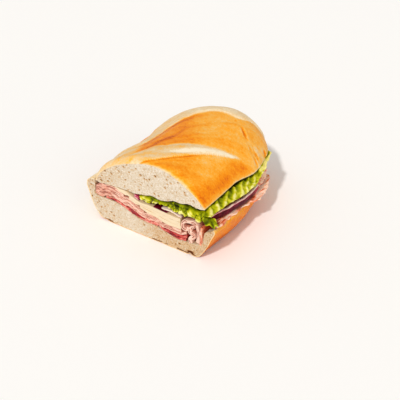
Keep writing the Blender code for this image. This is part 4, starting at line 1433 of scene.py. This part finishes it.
def corner_lobe():
    """The lobe: each point's place is its spoke's reach out, a slope down and a crumple."""
    ring = np.linspace(0.0, 1.0, LOBE_RINGS)[:, None]
    spoke = np.linspace(0.0, 2.0 * np.pi, LOBE_SPOKES)[None]
    rim = 1.0 + 0.12 * np.sin(3.0 * spoke + 0.6) + 0.08 * np.sin(7.0 * spoke)
    rim = rim + 0.04 * np.sin(11.0 * spoke + 1.0)
    across = LOBE_REACH[0] * ring * rim * np.cos(spoke)
    along = LOBE_REACH[1] * ring * rim * np.sin(spoke)
    x, y = LOBE[0] + across, LOBE[1] + along
    crumple = 0.9 * ring ** 2 * np.sin(5.0 * spoke + 2.0 * ring)
    crumple = crumple + 0.5 * bumps(points(x, y, 0.0), 2.2, 480, 2)
    z = LOBE[2] - 0.42 * across - 0.9 * (ring * rim) ** 2 * (1.6 - np.sin(spoke)) + crumple
    # The lobe is painted lighter towards its right side and on the raised parts of its crumples, and
    # darker in their hollows: painted light and painted shade. Its rim is paler.
    light = 0.30 + 0.10 * np.cos(spoke) + 0.34 * ring ** 5 + 0.30 * crumple
    middle = points(x, y, z)
    middle[:, -1] = middle[:, 0]
    light[:, -1] = light[:, 0]
    shift = np.gradient(middle, axis=0)
    swing = np.roll(middle[:, :-1], -1, axis=1) - np.roll(middle[:, :-1], 1, axis=1)
    square = unit(np.cross(shift[:, :-1], swing))
    square[0] = (0.0, 0.0, 1.0)
    square = np.concatenate([square, square[:, :1]], axis=1)
    thick = LEAF_HALF * (1.0 - 0.7 * ease((ring - 0.9) / 0.1))[..., None]
    over, under = middle + square * thick, middle - square * thick
    over[0], under[0] = over[0, 0], under[0, 0]
    rim_rows = np.linspace(under[-1], over[-1], 3)
    masks = {"light": [light, light, light[-1]]}
    skin("corner_lobe", [over, under, rim_rows], masks, lettuce, "lettuce", "lettuce_leaf_4")


corner_lobe()

# %% [markdown]
# ## Floor, light and camera
# The part stands on a wide pale floor. One sun from the cut side gives the soft edged shadows, a
# wide warm light comes from the open side, and an even pale sky fills the rest. A lamp close by
# would fall off along the roll, so suns are used. The camera looks down at the cut face and the
# open side.

# %% Floor, light and camera
FLOOR_HALF = 30.0
# Each sun: where it shines from, strength, size in degrees and colour
SUNS = {
    "main_light": ((0.10, -0.70, 0.71), 1.90, 4.0, (1.0, 0.98, 0.945)),
    "warm_fill": ((0.90, -0.35, 0.30), 0.50, 60.0, (1.0, 0.80, 0.56)),
}
SKY_COLOUR = (1.0, 0.985, 0.96, 1.0)
SKY_STRENGTH = 0.56
SENSOR_WIDTH = 36.0
FOCAL_LENGTH = 66.15
CAMERA_PLACE = (0.2742, -0.4101, 0.3200)
CAMERA_TILT = np.radians(56.6)
CAMERA_TURN = np.radians(34.0)


def floor_plate():
    """A wide pale floor just under the part."""
    mesh = bpy.data.meshes.new("floor")
    corners = [(x * FLOOR_HALF, y * FLOOR_HALF, 0.0) for x, y in ((-1, -1), (1, -1), (1, 1), (-1, 1))]
    mesh.from_pydata(corners, [], [(0, 1, 2, 3)])
    material = bpy.data.materials.new("pale_floor")
    material.use_nodes = True
    shader = material.node_tree.nodes["Principled BSDF"]
    shader.inputs["Base Color"].default_value = tone(250, 250, 250)
    shader.inputs["Roughness"].default_value = 0.8
    mesh.materials.append(material)
    plate = bpy.data.objects.new("floor", mesh)
    bpy.context.collection.objects.link(plate)


def sun(name, direction, strength, size, colour):
    """A sun that shines from a direction; its size in degrees softens the shadows."""
    light = bpy.data.lights.new(name, "SUN")
    light.energy = strength
    light.angle = np.radians(size)
    light.color = colour
    lamp = bpy.data.objects.new(name, light)
    lamp.rotation_euler = Vector(direction).to_track_quat("Z", "Y").to_euler()
    bpy.context.collection.objects.link(lamp)


def sky():
    """An even pale sky."""
    world = bpy.data.worlds.new("white_sky")
    world.use_nodes = True
    background = world.node_tree.nodes["Background"]
    background.inputs["Color"].default_value = SKY_COLOUR
    background.inputs["Strength"].default_value = SKY_STRENGTH
    bpy.context.scene.world = world


def camera():
    """The camera, at the angle of the photograph."""
    lens = bpy.data.cameras.new("camera")
    lens.sensor_width = SENSOR_WIDTH
    lens.lens = FOCAL_LENGTH
    lens.clip_start = 0.01
    view = bpy.data.objects.new("camera", lens)
    view.location = CAMERA_PLACE
    view.rotation_euler = (CAMERA_TILT, 0.0, CAMERA_TURN)
    bpy.context.collection.objects.link(view)
    bpy.context.scene.camera = view


floor_plate()
for name, form in SUNS.items():
    sun(name, *form)
sky()
camera()
bpy.context.scene.view_settings.view_transform = "Standard"
